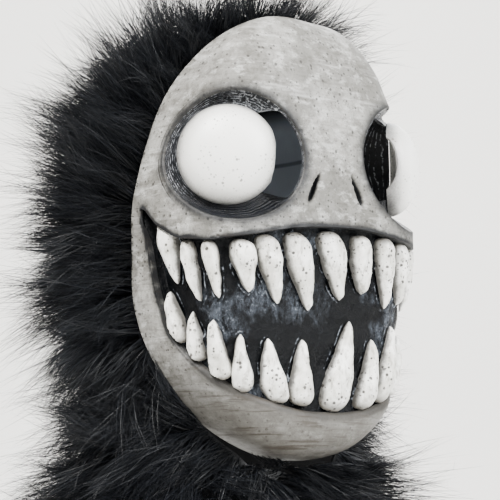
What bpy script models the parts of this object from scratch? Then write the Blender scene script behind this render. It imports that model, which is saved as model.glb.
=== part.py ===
"""Monster mask: a hard face shell with dome eyes, a grin of separate teeth and a fur hood for the head.

Metres, +Z up, the face looks along -Y. Every piece hangs from one empty, which puts the origin where the
wearer's crown touches the inside of the hood.
"""

import math

import bmesh
import bpy
from mathutils import Matrix, Vector

# The face form: an egg outline seen from the front, with side walls and a blunt front.
FACE_HALF_WIDTH = 0.0938
CROWN_HEIGHT = 0.1398
CHIN_DROP = 0.1412
WIDEST_HEIGHT = -0.0275
UPPER_BLUNTNESS = 0.331
LOWER_BLUNTNESS = 0.444
CHEEK_BULGE = 0.0024
CHEEK_HEIGHT = 0.014
CHEEK_SPREAD = 0.024
SIDE_WALL_DEPTH = 0.0369
CROWN_WALL_DEPTH = 0.0538
CHIN_WALL_DEPTH = 0.0441
CROWN_SETBACK = 0.0500
CHIN_SETBACK = 0.0420
FRONT_BULGE = 0.0493
CROWN_ROUNDNESS = 0.80
CHIN_ROUNDNESS = 0.415
SECTION_SQUARENESS = 3.35
FACE_TILT = 0.042
TILT_START = 0.080
SHELL_WALL = 0.003
FACE_COLUMNS = 28
FACE_ROWS = 26
WALL_TURN = 30.0
FRONT_TURN = 90.0

# The eyes: each sits on the corner of the face and looks outwards.
EYE_TOE_OUT = 41.0
EYE_SIDE = 0.0705
EYE_DEPTH = 0.0630
EYE_HEIGHT = 0.0460
EYE_RADIUS = 0.0310
EYE_DOME = 0.0205
EYE_WALL = 0.002
EYE_TRIM = 0.0245
EYE_TRIM_TURN = 19.0
SOCKET_SHIFT = 0.0030
SOCKET_HALF_LENGTH = 0.0432
SOCKET_HALF_HEIGHT = 0.0405
SOCKET_WALL = 0.002
SOCKET_DIP = 0.004
SOCKET_COLUMNS = 36
SOCKET_SINK = 0.002
SIGHT_EDGE = 0.0024
SIGHT_CLEARANCE = 0.0018
SIGHT_OPEN_ANGLE = 38.0
SIGHT_CLOSE_ANGLE = 50.0

# The nostrils: two leaning pockets pressed into the wall.
NOSTRIL_SIDE = 0.0185
NOSTRIL_HEIGHT = 0.0265
NOSTRIL_LENGTH = 0.019
NOSTRIL_WIDTH = 0.005
NOSTRIL_DEPTH = 0.0016
NOSTRIL_LEAN = 28.0

# The mouth: a tray behind the lips, and how far it lies behind the face form.
GUM_SINK = 0.0095
GUM_WALL = 0.0025
GUM_OVERLAP = 0.0055
GUM_REACH = 116.5
GUM_RAMP = 0.0105
GUM_END_RISE = 0.0012
GUM_COLUMNS = 32
GUM_ROWS = 10

# The teeth: the widest upper one, how far they stand in front of the face form and how far off the gums.
TOOTH_WIDTH = 0.0235
TOOTH_PROUD = 0.001
TOOTH_SEAT = 0.0010

# The hood: a sewn wall round the head and neck, with fur outside it.
HEM_DROP = 0.215
HEAD_BACK = 0.128
NECK_FRONT = 0.050
HOOD_WALL = 0.002
HOOD_TUCK = 0.009
HOOD_CHIN_ROOM = 0.026
HOOD_CHIN_DROP = 0.003
HOOD_COLUMNS = 20
HOOD_ROWS = 9
FUR_BACKING = 0.0025
FUR_LENGTH = 0.050
FUR_DROOP = 0.30
FUR_SWEEP = 0.10
FUR_SETBACK = 0.004
FUR_TURNBACK = 0.012

CUT_REACH = 0.030
CUT_LIFT = 0.004
MERGE = 0.0002

GAP = 0.0003
FINE_GAP = 0.0006

# Lips, by turn round the face: upper lip as a share of CROWN_HEIGHT, lower lip as a share of CHIN_DROP, and
# how far the lower lip slopes in to its inner edge, as a share of LIP_SLOPE.
LIP_SLOPE = 0.0055
LIP_COLUMNS = ("turn", "upper", "lower", "slope")
LIP_LINE = (
    (0.0, 0.019, -0.800, 1.00),
    (12.0, 0.016, -0.797, 1.00),
    (24.0, 0.001, -0.786, 1.00),
    (36.0, -0.023, -0.762, 1.00),
    (48.0, -0.040, -0.733, 0.95),
    (58.0, -0.049, -0.697, 0.90),
    (68.0, -0.038, -0.652, 0.80),
    (78.0, -0.032, -0.598, 0.70),
    (88.0, -0.014, -0.540, 0.60),
    (94.5, 0.012, -0.480, 0.50),
    (98.0, 0.028, -0.410, 0.40),
    (101.0, 0.044, -0.290, 0.30),
    (104.0, 0.066, -0.180, 0.20),
    (107.0, 0.089, -0.070, 0.10),
    (110.0, 0.112, 0.030, 0.05),
    (114.0, 0.134, 0.125, 0.00),
)

# Teeth from the wearer's right to left: turn of the root, heights of root and tip as shares of CHIN_DROP,
# width as a share of TOOTH_WIDTH and lean from root to tip in degrees of turn.
TOOTH_COLUMNS = ("turn", "root", "tip", "width", "lean")
UPPER_TEETH = (
    (-98.5, -0.010, -0.262, 0.64, 6.0),
    (-77.0, -0.062, -0.345, 0.44, 8.0),
    (-59.5, -0.065, -0.333, 0.56, 6.0),
    (-41.0, -0.062, -0.302, 0.88, 3.5),
    (-31.0, -0.038, -0.343, 0.86, 5.5),
    (-17.6, -0.024, -0.362, 0.97, 7.2),
    (-0.4, -0.004, -0.306, 0.90, 6.3),
    (15.4, -0.014, -0.270, 0.71, 2.4),
    (29.5, -0.014, -0.326, 0.68, 2.9),
    (41.5, -0.034, -0.303, 0.60, 1.5),
    (54.0, -0.046, -0.330, 0.62, -2.0),
    (67.0, -0.048, -0.300, 0.60, -4.0),
    (81.0, -0.035, -0.335, 0.54, -5.0),
    (97.5, 0.010, -0.262, 0.60, -6.0),
)
LOWER_TEETH = (
    (-90.6, -0.462, -0.280, 0.42, -4.6),
    (-78.5, -0.590, -0.378, 0.50, -1.0),
    (-61.6, -0.676, -0.420, 0.60, 2.8),
    (-50.5, -0.724, -0.477, 0.72, 7.2),
    (-32.4, -0.768, -0.487, 0.94, 1.6),
    (-18.0, -0.778, -0.482, 0.84, 3.8),
    (2.7, -0.797, -0.386, 1.26, 9.4),
    (25.0, -0.785, -0.460, 0.80, -1.0),
    (37.8, -0.752, -0.395, 0.72, -1.1),
    (51.0, -0.720, -0.470, 0.70, -3.0),
    (64.0, -0.668, -0.425, 0.64, -2.0),
    (78.5, -0.590, -0.370, 0.50, 1.0),
    (90.6, -0.462, -0.290, 0.42, 4.2),
)

# Hood sections from hem to crown: height as a share of HEM_DROP below the face centre or of CROWN_HEIGHT
# above it, half width as a share of FACE_HALF_WIDTH, reaches as shares of HEAD_BACK and NECK_FRONT.
HOOD_SECTION_COLUMNS = ("height", "half_width", "back", "front")
HOOD_SECTIONS = (
    (-1.00, 1.06, 0.86, 1.04),
    (-0.82, 0.98, 0.77, 1.00),
    (-0.68, 0.93, 0.74, 0.96),
    (-0.52, 0.93, 0.77, 0.94),
    (-0.34, 0.95, 0.85, 1.00),
    (-0.15, 0.955, 0.93, 1.00),
    (0.15, 0.955, 0.99, 1.00),
    (0.40, 0.92, 1.00, 1.00),
    (0.62, 0.80, 0.96, 0.94),
    (0.80, 0.62, 0.86, 0.86),
    (0.90, 0.46, 0.74, 0.76),
    (0.955, 0.26, 0.54, 0.50),
    (0.965, 0.00, 0.34, 0.20),
)


def smooth(share):
    """An S-shaped step from 0 to 1."""
    share = min(1.0, max(0.0, share))
    return share * share * (3.0 - 2.0 * share)


def read_table(rows, column, place):
    """A column of a table at a place along its first column, eased between rows with a cubic."""
    if place <= rows[0][0]:
        return rows[0][column]
    if place >= rows[-1][0]:
        return rows[-1][column]
    k = max(i for i in range(len(rows) - 1) if rows[i][0] <= place)
    before, low, high, after = rows[max(k - 1, 0)], rows[k], rows[k + 1], rows[min(k + 2, len(rows) - 1)]
    span = high[0] - low[0]
    s = (place - low[0]) / span
    slope_low = (high[column] - before[column]) / max(high[0] - before[0], 1e-9) * span
    slope_high = (after[column] - low[column]) / max(after[0] - low[0], 1e-9) * span
    return (
        (2 * s**3 - 3 * s**2 + 1) * low[column]
        + (s**3 - 2 * s**2 + s) * slope_low
        + (3 * s**2 - 2 * s**3) * high[column]
        + (s**3 - s**2) * slope_high
    )


def height_share(z):
    """How far a height lies from the widest level towards the crown (+1) or the chin (-1)."""
    above = z > WIDEST_HEIGHT
    reach = CROWN_HEIGHT - WIDEST_HEIGHT if above else CHIN_DROP + WIDEST_HEIGHT
    return max(-1.0, min(1.0, (z - WIDEST_HEIGHT) / reach))


def half_width(z):
    s = height_share(z)
    power = UPPER_BLUNTNESS if s > 0 else LOWER_BLUNTNESS
    cheek = math.exp(-(((z - CHEEK_HEIGHT) / CHEEK_SPREAD) ** 2))
    return FACE_HALF_WIDTH * (1.0 - s * s) ** power + CHEEK_BULGE * cheek


def rim_depth(z):
    """Where the side wall ends at the back: level at the sides, further forward at crown and chin."""
    s = height_share(z)
    return -CROWN_SETBACK * s**4 if s > 0 else -CHIN_SETBACK * s * s


def shoulder_depth(z):
    """Where the side wall meets the rounded front."""
    s = height_share(z)
    end = CROWN_WALL_DEPTH if s > 0 else CHIN_WALL_DEPTH
    return -SIDE_WALL_DEPTH - (end - SIDE_WALL_DEPTH) * s**4


def front_bulge(z):
    s = height_share(z)
    return FRONT_BULGE * (1.0 - s**4) ** (CROWN_ROUNDNESS if s > 0 else CHIN_ROUNDNESS)


def tilted(x, z):
    """A feature's height. From the mouth's corners up they ride a little higher on the wearer's left."""
    return z + FACE_TILT * x * smooth((z + TILT_START) / TILT_START)


def face_point(turn, z):
    """A point of the face form. A turn of 0 is the middle, 90 the shoulder, 120 the rim."""
    side = 1.0 if turn >= 0 else -1.0
    angle = math.radians(min(abs(turn), FRONT_TURN))
    square = SECTION_SQUARENESS - 0.4 * height_share(z) ** 2
    reach = (abs(math.sin(angle)) ** square + abs(math.cos(angle)) ** square) ** (-1.0 / square)
    x = half_width(z) * reach * math.sin(angle)
    y = shoulder_depth(z) - front_bulge(z) * reach * math.cos(angle)
    wall = max(0.0, abs(turn) - FRONT_TURN) / WALL_TURN
    y += wall * (rim_depth(z) - shoulder_depth(z))
    return Vector((side * x, y, z))


def face_normal(turn, z):
    """The outward normal of the face form."""
    step_turn, step_z = 0.5, 0.0005
    z = max(-CHIN_DROP + CUT_LIFT, min(CROWN_HEIGHT - CUT_LIFT, z))
    across = face_point(turn + step_turn, z) - face_point(turn - step_turn, z)
    up = face_point(turn, z + step_z) - face_point(turn, z - step_z)
    return across.cross(up).normalized()


def sunk_point(turn, z, sink):
    return face_point(turn, z) - face_normal(turn, z) * sink


def lip_height(turn, upper):
    share = read_table(LIP_LINE, 1 if upper else 2, abs(turn))
    z = share * (CROWN_HEIGHT if upper else CHIN_DROP)
    return tilted(face_point(turn, z).x, z)


def material(name, colour, roughness, metallic=0.0):
    made = bpy.data.materials.new(name)
    made.use_nodes = True
    shader = made.node_tree.nodes["Principled BSDF"]
    shader.inputs["Base Color"].default_value = (*colour, 1.0)
    shader.inputs["Roughness"].default_value = roughness
    shader.inputs["Metallic"].default_value = metallic
    return made


def add_object(name, mesh_builder, frame, finish):
    mesh = bpy.data.meshes.new(name)
    mesh_builder.to_mesh(mesh)
    mesh_builder.free()
    obj = bpy.data.objects.new(name, mesh)
    bpy.context.scene.collection.objects.link(obj)
    obj.parent = frame
    if finish:
        mesh.materials.append(finish)
    mesh.shade_smooth()
    mesh.set_sharp_from_angle(angle=math.radians(40))
    return obj


def grid(columns, rows, place):
    """A sheet of quads, each vertex put by place(u, v), where u and v run from 0 to 1."""
    sheet = bmesh.new()
    bmesh.ops.create_grid(sheet, x_segments=columns, y_segments=rows, size=0.5)
    for vertex in sheet.verts:
        vertex.co = place(vertex.co.x + 0.5, vertex.co.y + 0.5)
    return sheet


def face_outwards(sheet, towards):
    """Turns an open sheet so that its first face looks along a direction."""
    sheet.normal_update()
    sheet.faces.ensure_lookup_table()
    middle = sheet.faces[len(sheet.faces) // 2]
    if middle.normal.dot(towards(middle.calc_center_median())) < 0:
        bmesh.ops.reverse_faces(sheet, faces=sheet.faces)


def thicken(obj, thickness, offset=-1.0):
    solid = obj.modifiers.new("wall", "SOLIDIFY")
    solid.thickness = thickness
    solid.offset = offset


def cutter(name, mesh_builder, frame):
    bmesh.ops.recalc_face_normals(mesh_builder, faces=mesh_builder.faces)
    obj = add_object(name, mesh_builder, frame, None)
    obj.hide_render = True
    obj.display_type = "WIRE"
    return obj


def cut(obj, other):
    boolean = obj.modifiers.new(other.name, "BOOLEAN")
    boolean.operation = "DIFFERENCE"
    boolean.solver = "EXACT"
    boolean.use_self = True
    boolean.object = other


def row_height(share):
    """Rows spaced closer at crown and chin, from 0 at the chin to 1 at the crown."""
    s = math.sin(math.pi * (share - 0.5))
    reach = CROWN_HEIGHT - WIDEST_HEIGHT if s > 0 else CHIN_DROP + WIDEST_HEIGHT
    return WIDEST_HEIGHT + s * reach


def eye_axes(side):
    """The eye's own directions: outwards, and towards the nose."""
    toe = math.radians(EYE_TOE_OUT)
    outwards = Vector((side * math.sin(toe), -math.cos(toe), 0.0))
    inwards = Vector((-side * math.cos(toe), -math.sin(toe), 0.0))
    return outwards, inwards


def eye_centre(side):
    return Vector((side * EYE_SIDE, -EYE_DEPTH, tilted(side * EYE_SIDE, EYE_HEIGHT)))


def surface_at_eye(side, inward, z):
    """The face point at a height whose distance towards the nose from the eye's centre is as given."""
    inwards = eye_axes(side)[1]
    low, high = FRONT_TURN + WALL_TURN, -20.0
    for _ in range(40):
        middle = (low + high) / 2
        if (face_point(side * middle, z) - eye_centre(side)).dot(inwards) < inward:
            low = middle
        else:
            high = middle
    return side * (low + high) / 2


def socket_rim(side, angle, grow=0.0, sink=0.0):
    """A point of the socket's outer edge, on the face form. An angle of 0 is towards the nose."""
    inward = SOCKET_SHIFT + (SOCKET_HALF_LENGTH + grow) * math.cos(angle)
    z = eye_centre(side).z + (SOCKET_HALF_HEIGHT + grow) * math.sin(angle)
    turn = surface_at_eye(side, inward, z)
    return sunk_point(turn, z, sink)


def sight_share(angle):
    """1 where the socket's inner edge swings out round the sight gap, 0 where it follows the eye."""
    off_nose = abs(math.degrees(math.atan2(math.sin(angle), math.cos(angle))))
    return 1.0 - smooth((off_nose - SIGHT_OPEN_ANGLE) / (SIGHT_CLOSE_ANGLE - SIGHT_OPEN_ANGLE))


def socket_hole(side, angle, lift=0.0):
    """A point of the socket's inner edge, at the eye or round the sight gap."""
    outwards, inwards = eye_axes(side)
    share = sight_share(angle)
    off_nose = abs(math.degrees(math.atan2(math.sin(angle), math.cos(angle))))
    clear = FINE_GAP + SIGHT_CLEARANCE * (1.0 - smooth((off_nose - SIGHT_CLOSE_ANGLE) / SIGHT_OPEN_ANGLE))
    radius = EYE_RADIUS + clear
    at_eye = inwards * (radius * math.cos(angle)) + Vector((0, 0, radius * math.sin(angle)))
    at_eye += eye_centre(side) + outwards * lift
    return at_eye.lerp(socket_rim(side, angle, grow=-SIGHT_EDGE, sink=SOCKET_SINK), share)


def build_shell(frame, finish):
    def place(u, v):
        return face_point((2 * u - 1) * (FRONT_TURN + WALL_TURN), row_height(v))

    sheet = grid(FACE_COLUMNS, FACE_ROWS, place)
    bmesh.ops.remove_doubles(sheet, verts=sheet.verts, dist=MERGE)
    face_outwards(sheet, lambda point: point)
    shell = add_object("face_shell", sheet, frame, finish)
    thicken(shell, SHELL_WALL)
    for side, word in ((-1, "right"), (1, "left")):
        cut(shell, cutter(f"cut_socket_{word}", socket_cutter(side), frame))
        cut(shell, cutter(f"cut_nostril_{word}", nostril_cutter(side), frame))
    cut(shell, cutter("cut_mouth", mouth_cutter(), frame))
    return shell


def socket_cutter(side):
    """A plug through the shell with the socket's outline."""
    outwards = eye_axes(side)[0]
    plug = bmesh.new()
    ring = bmesh.ops.create_circle(plug, cap_ends=True, segments=SOCKET_COLUMNS, radius=1.0)["verts"]
    for vertex in ring:
        angle = math.atan2(vertex.co.y, vertex.co.x)
        point = socket_rim(side, angle)
        vertex.co = point + outwards * CUT_REACH
    top = plug.faces[:] if plug.faces else []
    made = bmesh.ops.extrude_face_region(plug, geom=top)["geom"]
    for vertex in (v for v in made if isinstance(v, bmesh.types.BMVert)):
        vertex.co -= outwards * 2 * CUT_REACH
    return plug


def nostril_cutter(side):
    """A leaning slot that sinks part of the way into the wall."""
    plug = bmesh.new()
    bmesh.ops.create_uvsphere(plug, u_segments=10, v_segments=6, radius=1.0)
    lean = Matrix.Rotation(math.radians(-side * NOSTRIL_LEAN), 4, "Y")
    turn = next(t / 2 for t in range(180) if face_point(t / 2, NOSTRIL_HEIGHT).x >= NOSTRIL_SIDE)
    centre = face_point(side * turn, tilted(side * NOSTRIL_SIDE, NOSTRIL_HEIGHT))
    for vertex in plug.verts:
        local = Vector((vertex.co.x * NOSTRIL_WIDTH / 2, vertex.co.y * NOSTRIL_DEPTH, vertex.co.z * NOSTRIL_LENGTH / 2))
        vertex.co = lean @ local + centre
    return plug


def mouth_cutter():
    """A curved plug that follows both lips. The lower lip slopes in from its outer edge to its inner one."""
    reach = LIP_LINE[-1][0]
    plug = bmesh.new()
    bmesh.ops.create_grid(plug, x_segments=GUM_COLUMNS, y_segments=4, size=0.5)
    turn_of = plug.verts.layers.float.new("turn")
    rise_of = plug.verts.layers.float.new("rise")
    for vertex in plug.verts:
        share = 2 * vertex.co.x
        vertex[turn_of] = reach * share * (1.25 - 0.25 * share * share)
        vertex[rise_of] = vertex.co.y + 0.5

    def seat(vertices, sink, inset, shrink=1.0):
        for vertex in vertices:
            turn = vertex[turn_of]
            low = lip_height(turn, False) - inset * LIP_SLOPE * read_table(LIP_LINE, 3, abs(turn))
            z = low + vertex[rise_of] * (lip_height(turn, True) - low)
            point = sunk_point(turn, z, sink)
            vertex.co = (point.x * shrink, point.y * shrink, point.z)

    seat(plug.verts, -CUT_LIFT, 1.0 + CUT_LIFT / SHELL_WALL)
    layer = plug.faces[:]
    for shrink in (1.0, 0.85):
        made = bmesh.ops.extrude_face_region(plug, geom=layer)["geom"]
        if shrink < 1.0:
            bmesh.ops.delete(plug, geom=[face for face in layer if face.is_valid], context="FACES")
        layer = [part for part in made if isinstance(part, bmesh.types.BMFace)]
        seat([part for part in made if isinstance(part, bmesh.types.BMVert)], SHELL_WALL + FINE_GAP, 0.0, shrink)
    return plug


def gum_edges(turn):
    return lip_height(turn, False) - GUM_OVERLAP, lip_height(turn, True) + GUM_OVERLAP


def gum_depth(turn, z):
    """How far the tray's front lies behind the face form: deep in the middle, close to the shell at its edge."""
    low, high = gum_edges(turn)
    edge = max(0.0, min(z - low, high - z, (GUM_REACH - abs(turn)) * GUM_END_RISE))
    return SHELL_WALL + FINE_GAP + (GUM_SINK - SHELL_WALL) * smooth(edge / GUM_RAMP)


def build_gums(frame, finish):
    """The black tray: its floor lies behind the lips and its edge comes forward to the shell."""

    def place(u, v):
        turn = (2 * u - 1) * GUM_REACH
        low, high = gum_edges(turn)
        row = round(v * GUM_ROWS)
        near = min(row, GUM_ROWS - row)
        ramp = min(GUM_RAMP, (high - low) / 3)
        if near <= 3:
            rise = ramp * near / 3
            z = low + rise if row < GUM_ROWS / 2 else high - rise
        else:
            z = low + ramp + (high - low - 2 * ramp) * (row - 3) / (GUM_ROWS - 6)
        return sunk_point(turn, z, gum_depth(turn, z))

    sheet = grid(GUM_COLUMNS, GUM_ROWS, place)
    face_outwards(sheet, lambda point: Vector((0, -1, 0)) if abs(point.x) < FACE_HALF_WIDTH / 2 else Vector((point.x, 0, 0)))
    gums = add_object("mouth_gums", sheet, frame, finish)
    thicken(gums, GUM_WALL)
    return gums


def tooth_outline(along):
    """Half width from tip (0) to root (1), as a share of the tooth's own half width."""
    return 1.26 * along**0.68 * (1.0 - along**4) ** 0.5


def build_tooth(name, row, frame, finish):
    turn, root, tip, width, lean = row
    start = tilted(face_point(turn, root * CHIN_DROP).x, root * CHIN_DROP)
    end = tip * CHIN_DROP
    half_most = TOOTH_WIDTH / 2 * width
    tooth = bmesh.new()
    bmesh.ops.create_uvsphere(tooth, u_segments=8, v_segments=6, radius=1.0)
    for vertex in tooth.verts:
        along = (1.0 + vertex.co.z) / 2.0
        across = Vector((vertex.co.x, vertex.co.y))
        if across.length > 1e-6:
            across.normalize()
        half = half_most * tooth_outline(along)
        z = end + (start - end) * along
        middle = turn + lean * (1.0 - along)
        per_turn = (face_point(middle + 2.0, z) - face_point(middle - 2.0, z)).length / 4.0
        lift = max(0.0, -across.y) * min(1.0, half / half_most) ** 0.8
        place = middle + across.x * half / per_turn
        seat = gum_depth(place, z) - TOOTH_SEAT
        vertex.co = sunk_point(place, z, seat - lift * (seat + TOOTH_PROUD))
    if tooth.calc_volume(signed=True) < 0:
        bmesh.ops.reverse_faces(tooth, faces=tooth.faces)
    return add_object(name, tooth, frame, finish)


def build_eye(side, word, frame, finish):
    """A thin flattened dome, cut straight on the nose side so that the wearer sees past it."""
    outwards, inwards = eye_axes(side)
    dome = bmesh.new()
    bmesh.ops.create_uvsphere(dome, u_segments=24, v_segments=12, radius=EYE_RADIUS)
    plane_turn = math.radians(EYE_TRIM_TURN)
    away = Vector((-side * math.cos(plane_turn), -math.sin(plane_turn), 0.0))
    basis = Matrix((inwards, Vector((0, 0, 1)), outwards)).transposed()
    bmesh.ops.delete(dome, geom=[v for v in dome.verts if v.co.z < -EYE_RADIUS / 100], context="VERTS")
    for vertex in dome.verts:
        local = Vector((vertex.co.x, vertex.co.y, vertex.co.z * EYE_DOME / EYE_RADIUS))
        vertex.co = basis @ local + eye_centre(side)
    geometry = dome.verts[:] + dome.edges[:] + dome.faces[:]
    trim = eye_centre(side) + inwards * EYE_TRIM
    bmesh.ops.bisect_plane(dome, geom=geometry, plane_co=trim, plane_no=away, clear_outer=True)
    bmesh.ops.recalc_face_normals(dome, faces=dome.faces)
    face_outwards(dome, lambda point: outwards)
    eye = add_object(f"eye_dome_{word}", dome, frame, finish)
    thicken(eye, EYE_WALL)
    return eye


def build_socket(side, word, frame, finish):
    """The dark ring between the face and the eye. It dips from the face to the eye's edge."""
    outwards = eye_axes(side)[0]

    def place(u, v):
        angle = 2 * math.pi * u
        rim = socket_rim(side, angle, grow=-GAP * 2, sink=GAP)
        hole = socket_hole(side, angle, lift=GAP)
        return rim.lerp(hole, v) - outwards * (SOCKET_DIP * math.sin(math.pi * v) * (1 - sight_share(angle)))

    ring = grid(SOCKET_COLUMNS, 3, place)
    bmesh.ops.remove_doubles(ring, verts=ring.verts, dist=MERGE / 4)
    face_outwards(ring, lambda point: outwards)
    made = bmesh.ops.extrude_face_region(ring, geom=ring.faces[:])["geom"]
    for vertex in (part for part in made if isinstance(part, bmesh.types.BMVert)):
        vertex.co -= outwards * SOCKET_WALL
    bmesh.ops.recalc_face_normals(ring, faces=ring.faces)
    return add_object(f"eye_socket_{word}", ring, frame, finish)


def hood_height(share):
    return share * (CROWN_HEIGHT if share > 0 else HEM_DROP)


def hood_section(share):
    """A section's half width, middle and half depth."""
    z = hood_height(share)
    width = read_table(HOOD_SECTIONS, 1, share) * FACE_HALF_WIDTH
    if z > -CHIN_DROP + HOOD_CHIN_ROOM:
        width = min(width, half_width(z) - SHELL_WALL - FINE_GAP)
    back = read_table(HOOD_SECTIONS, 2, share) * HEAD_BACK
    front = read_table(HOOD_SECTIONS, 3, share) * NECK_FRONT
    return width, (back - front) / 2, (back + front) / 2


def hood_edge(share, ahead):
    """The angle round a section at which it reaches this far ahead of the shell's rim. 0 is closed in front."""
    z = hood_height(share)
    if z < -CHIN_DROP - HOOD_CHIN_DROP:
        return 0.0
    middle, reach = hood_section(share)[1:]
    return math.acos(max(0.0, min(1.0, (middle - rim_depth(z) + ahead) / reach)))


def hood_point(share, column):
    """A point of the hood. The first and last columns lie under the shell, and the others are open to the fur."""
    z = hood_height(share)
    tuck = (HOOD_TUCK + FUR_SETBACK) * smooth((z + CHIN_DROP - HOOD_CHIN_ROOM / 2) / HOOD_CHIN_ROOM) - FUR_SETBACK
    under, clear = hood_edge(share, tuck - FINE_GAP), hood_edge(share, -FUR_SETBACK)
    last = HOOD_COLUMNS
    if column in (0, last):
        angle = under if column == 0 else 2 * math.pi - under
    else:
        angle = clear + (2 * math.pi - 2 * clear) * (column - 1) / (last - 2)
    width, middle, reach = hood_section(share)
    return Vector((-width * math.sin(angle), middle - reach * math.cos(angle), z))


def hood_rows():
    """Section heights as shares, closer together towards the crown."""
    below = [HOOD_SECTIONS[0][0] * (1.0 - k / 9) for k in range(9)]
    top = HOOD_SECTIONS[-1][0]
    return below + [top * math.sin(math.pi / 2 * k / HOOD_ROWS) for k in range(HOOD_ROWS + 1)]


def hood_sheet(bare_edges):
    rows = hood_rows()
    sheet = bmesh.new()
    bmesh.ops.create_grid(sheet, x_segments=HOOD_COLUMNS, y_segments=len(rows) - 1, size=0.5)
    edges = []
    for vertex in sheet.verts:
        column = round((vertex.co.x + 0.5) * HOOD_COLUMNS)
        row = round((vertex.co.y + 0.5) * (len(rows) - 1))
        vertex.co = hood_point(rows[row], column)
        if column in (0, HOOD_COLUMNS):
            edges.append(vertex)
    if not bare_edges:
        bmesh.ops.delete(sheet, geom=edges, context="VERTS")
    bmesh.ops.remove_doubles(sheet, verts=sheet.verts, dist=2 * MERGE)
    bmesh.ops.recalc_face_normals(sheet, faces=sheet.faces)
    face_outwards(sheet, lambda point: Vector((point.x, point.y - HEAD_BACK / 4, 0)))
    sheet.normal_update()
    return sheet


def build_hood(frame, finish):
    hood = add_object("hood_lining", hood_sheet(True), frame, finish)
    thicken(hood, HOOD_WALL)
    return hood


def fur_way(normal, point):
    """The way the pile lies: straight out of the hood, never forward over the shell, and falling towards the hem."""
    fall = FUR_DROOP * smooth(-point.z / HEM_DROP)
    way = normal + Vector((0.0, FUR_SWEEP, -fall))
    if point.z > -CHIN_DROP - HOOD_CHIN_DROP and point.y < FUR_TURNBACK:
        way.y = max(way.y, FUR_SWEEP)
    return way.normalized()


def build_fur(frame, finish):
    """A thin backing over the hood with a pointed lock on each of its cells, in one piece."""
    fur = hood_sheet(False)
    out = {vertex.index: vertex.normal.copy() for vertex in fur.verts}
    number = fur.verts.layers.int.new("number")
    for vertex in fur.verts:
        vertex[number] = vertex.index
        vertex.co += out[vertex.index] * GAP
    made = bmesh.ops.extrude_face_region(fur, geom=fur.faces[:])["geom"]
    for vertex in (part for part in made if isinstance(part, bmesh.types.BMVert)):
        vertex.co += out[vertex[number]] * FUR_BACKING
    bmesh.ops.recalc_face_normals(fur, faces=fur.faces)
    cells = [part for part in made if isinstance(part, bmesh.types.BMFace)]
    ways = [(face.calc_center_median(), face.normal.copy()) for face in cells]
    tips = bmesh.ops.poke(fur, faces=cells)["verts"]
    for index, tip in enumerate(tips):
        centre, normal = min(ways, key=lambda way: (way[0] - tip.co).length_squared)
        length = FUR_LENGTH * (0.72 + 0.28 * math.sin(index * 2.4) ** 2)
        tip.co += fur_way(normal, centre) * length
    return add_object("fur", fur, frame, finish)


def clear_scene():
    for obj in list(bpy.data.objects):
        bpy.data.objects.remove(obj)


def main():
    clear_scene()
    bone = material("bone_paint", (0.45, 0.43, 0.40), 0.55)
    gum_paint = material("black_gum_paint", (0.02, 0.02, 0.025), 0.22)
    tooth_paint = material("ivory_paint", (0.78, 0.76, 0.70), 0.45)
    eye_paint = material("white_eye_paint", (0.80, 0.79, 0.75), 0.40)
    socket_paint = material("charcoal_paint", (0.05, 0.05, 0.06), 0.30)
    lining = material("lining_cloth", (0.03, 0.03, 0.035), 0.90)
    pile = material("fur_pile", (0.012, 0.012, 0.015), 0.60)

    frame = bpy.data.objects.new("face_frame", None)
    bpy.context.scene.collection.objects.link(frame)
    frame.location = (0.0, 0.0, -(hood_height(HOOD_SECTIONS[-1][0]) - HOOD_WALL))

    build_shell(frame, bone)
    build_gums(frame, gum_paint)
    for rows, word in ((UPPER_TEETH, "upper"), (LOWER_TEETH, "lower")):
        for number, row in enumerate(rows, start=1):
            build_tooth(f"tooth_{word}_{number:02d}", row, frame, tooth_paint)
    for side, word in ((-1, "right"), (1, "left")):
        build_eye(side, word, frame, eye_paint)
        build_socket(side, word, frame, socket_paint)
    build_hood(frame, lining)
    build_fur(frame, pile)


main()
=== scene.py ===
# %% [markdown]
# # A monster mask on a fur hood
#
# The real mask is a thin cast face, painted like old bone, with two bulging eyes and a grin of separate
# teeth. It is sewn to a cloth hood that is covered in long fur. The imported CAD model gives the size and
# the place of each piece. This lesson rebuilds the visible surfaces finely around it and paints them.

# %% Load the frame
import math

import bmesh
import bpy
import numpy as np
from mathutils import Matrix, Vector, noise
from mathutils.kdtree import KDTree


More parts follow.
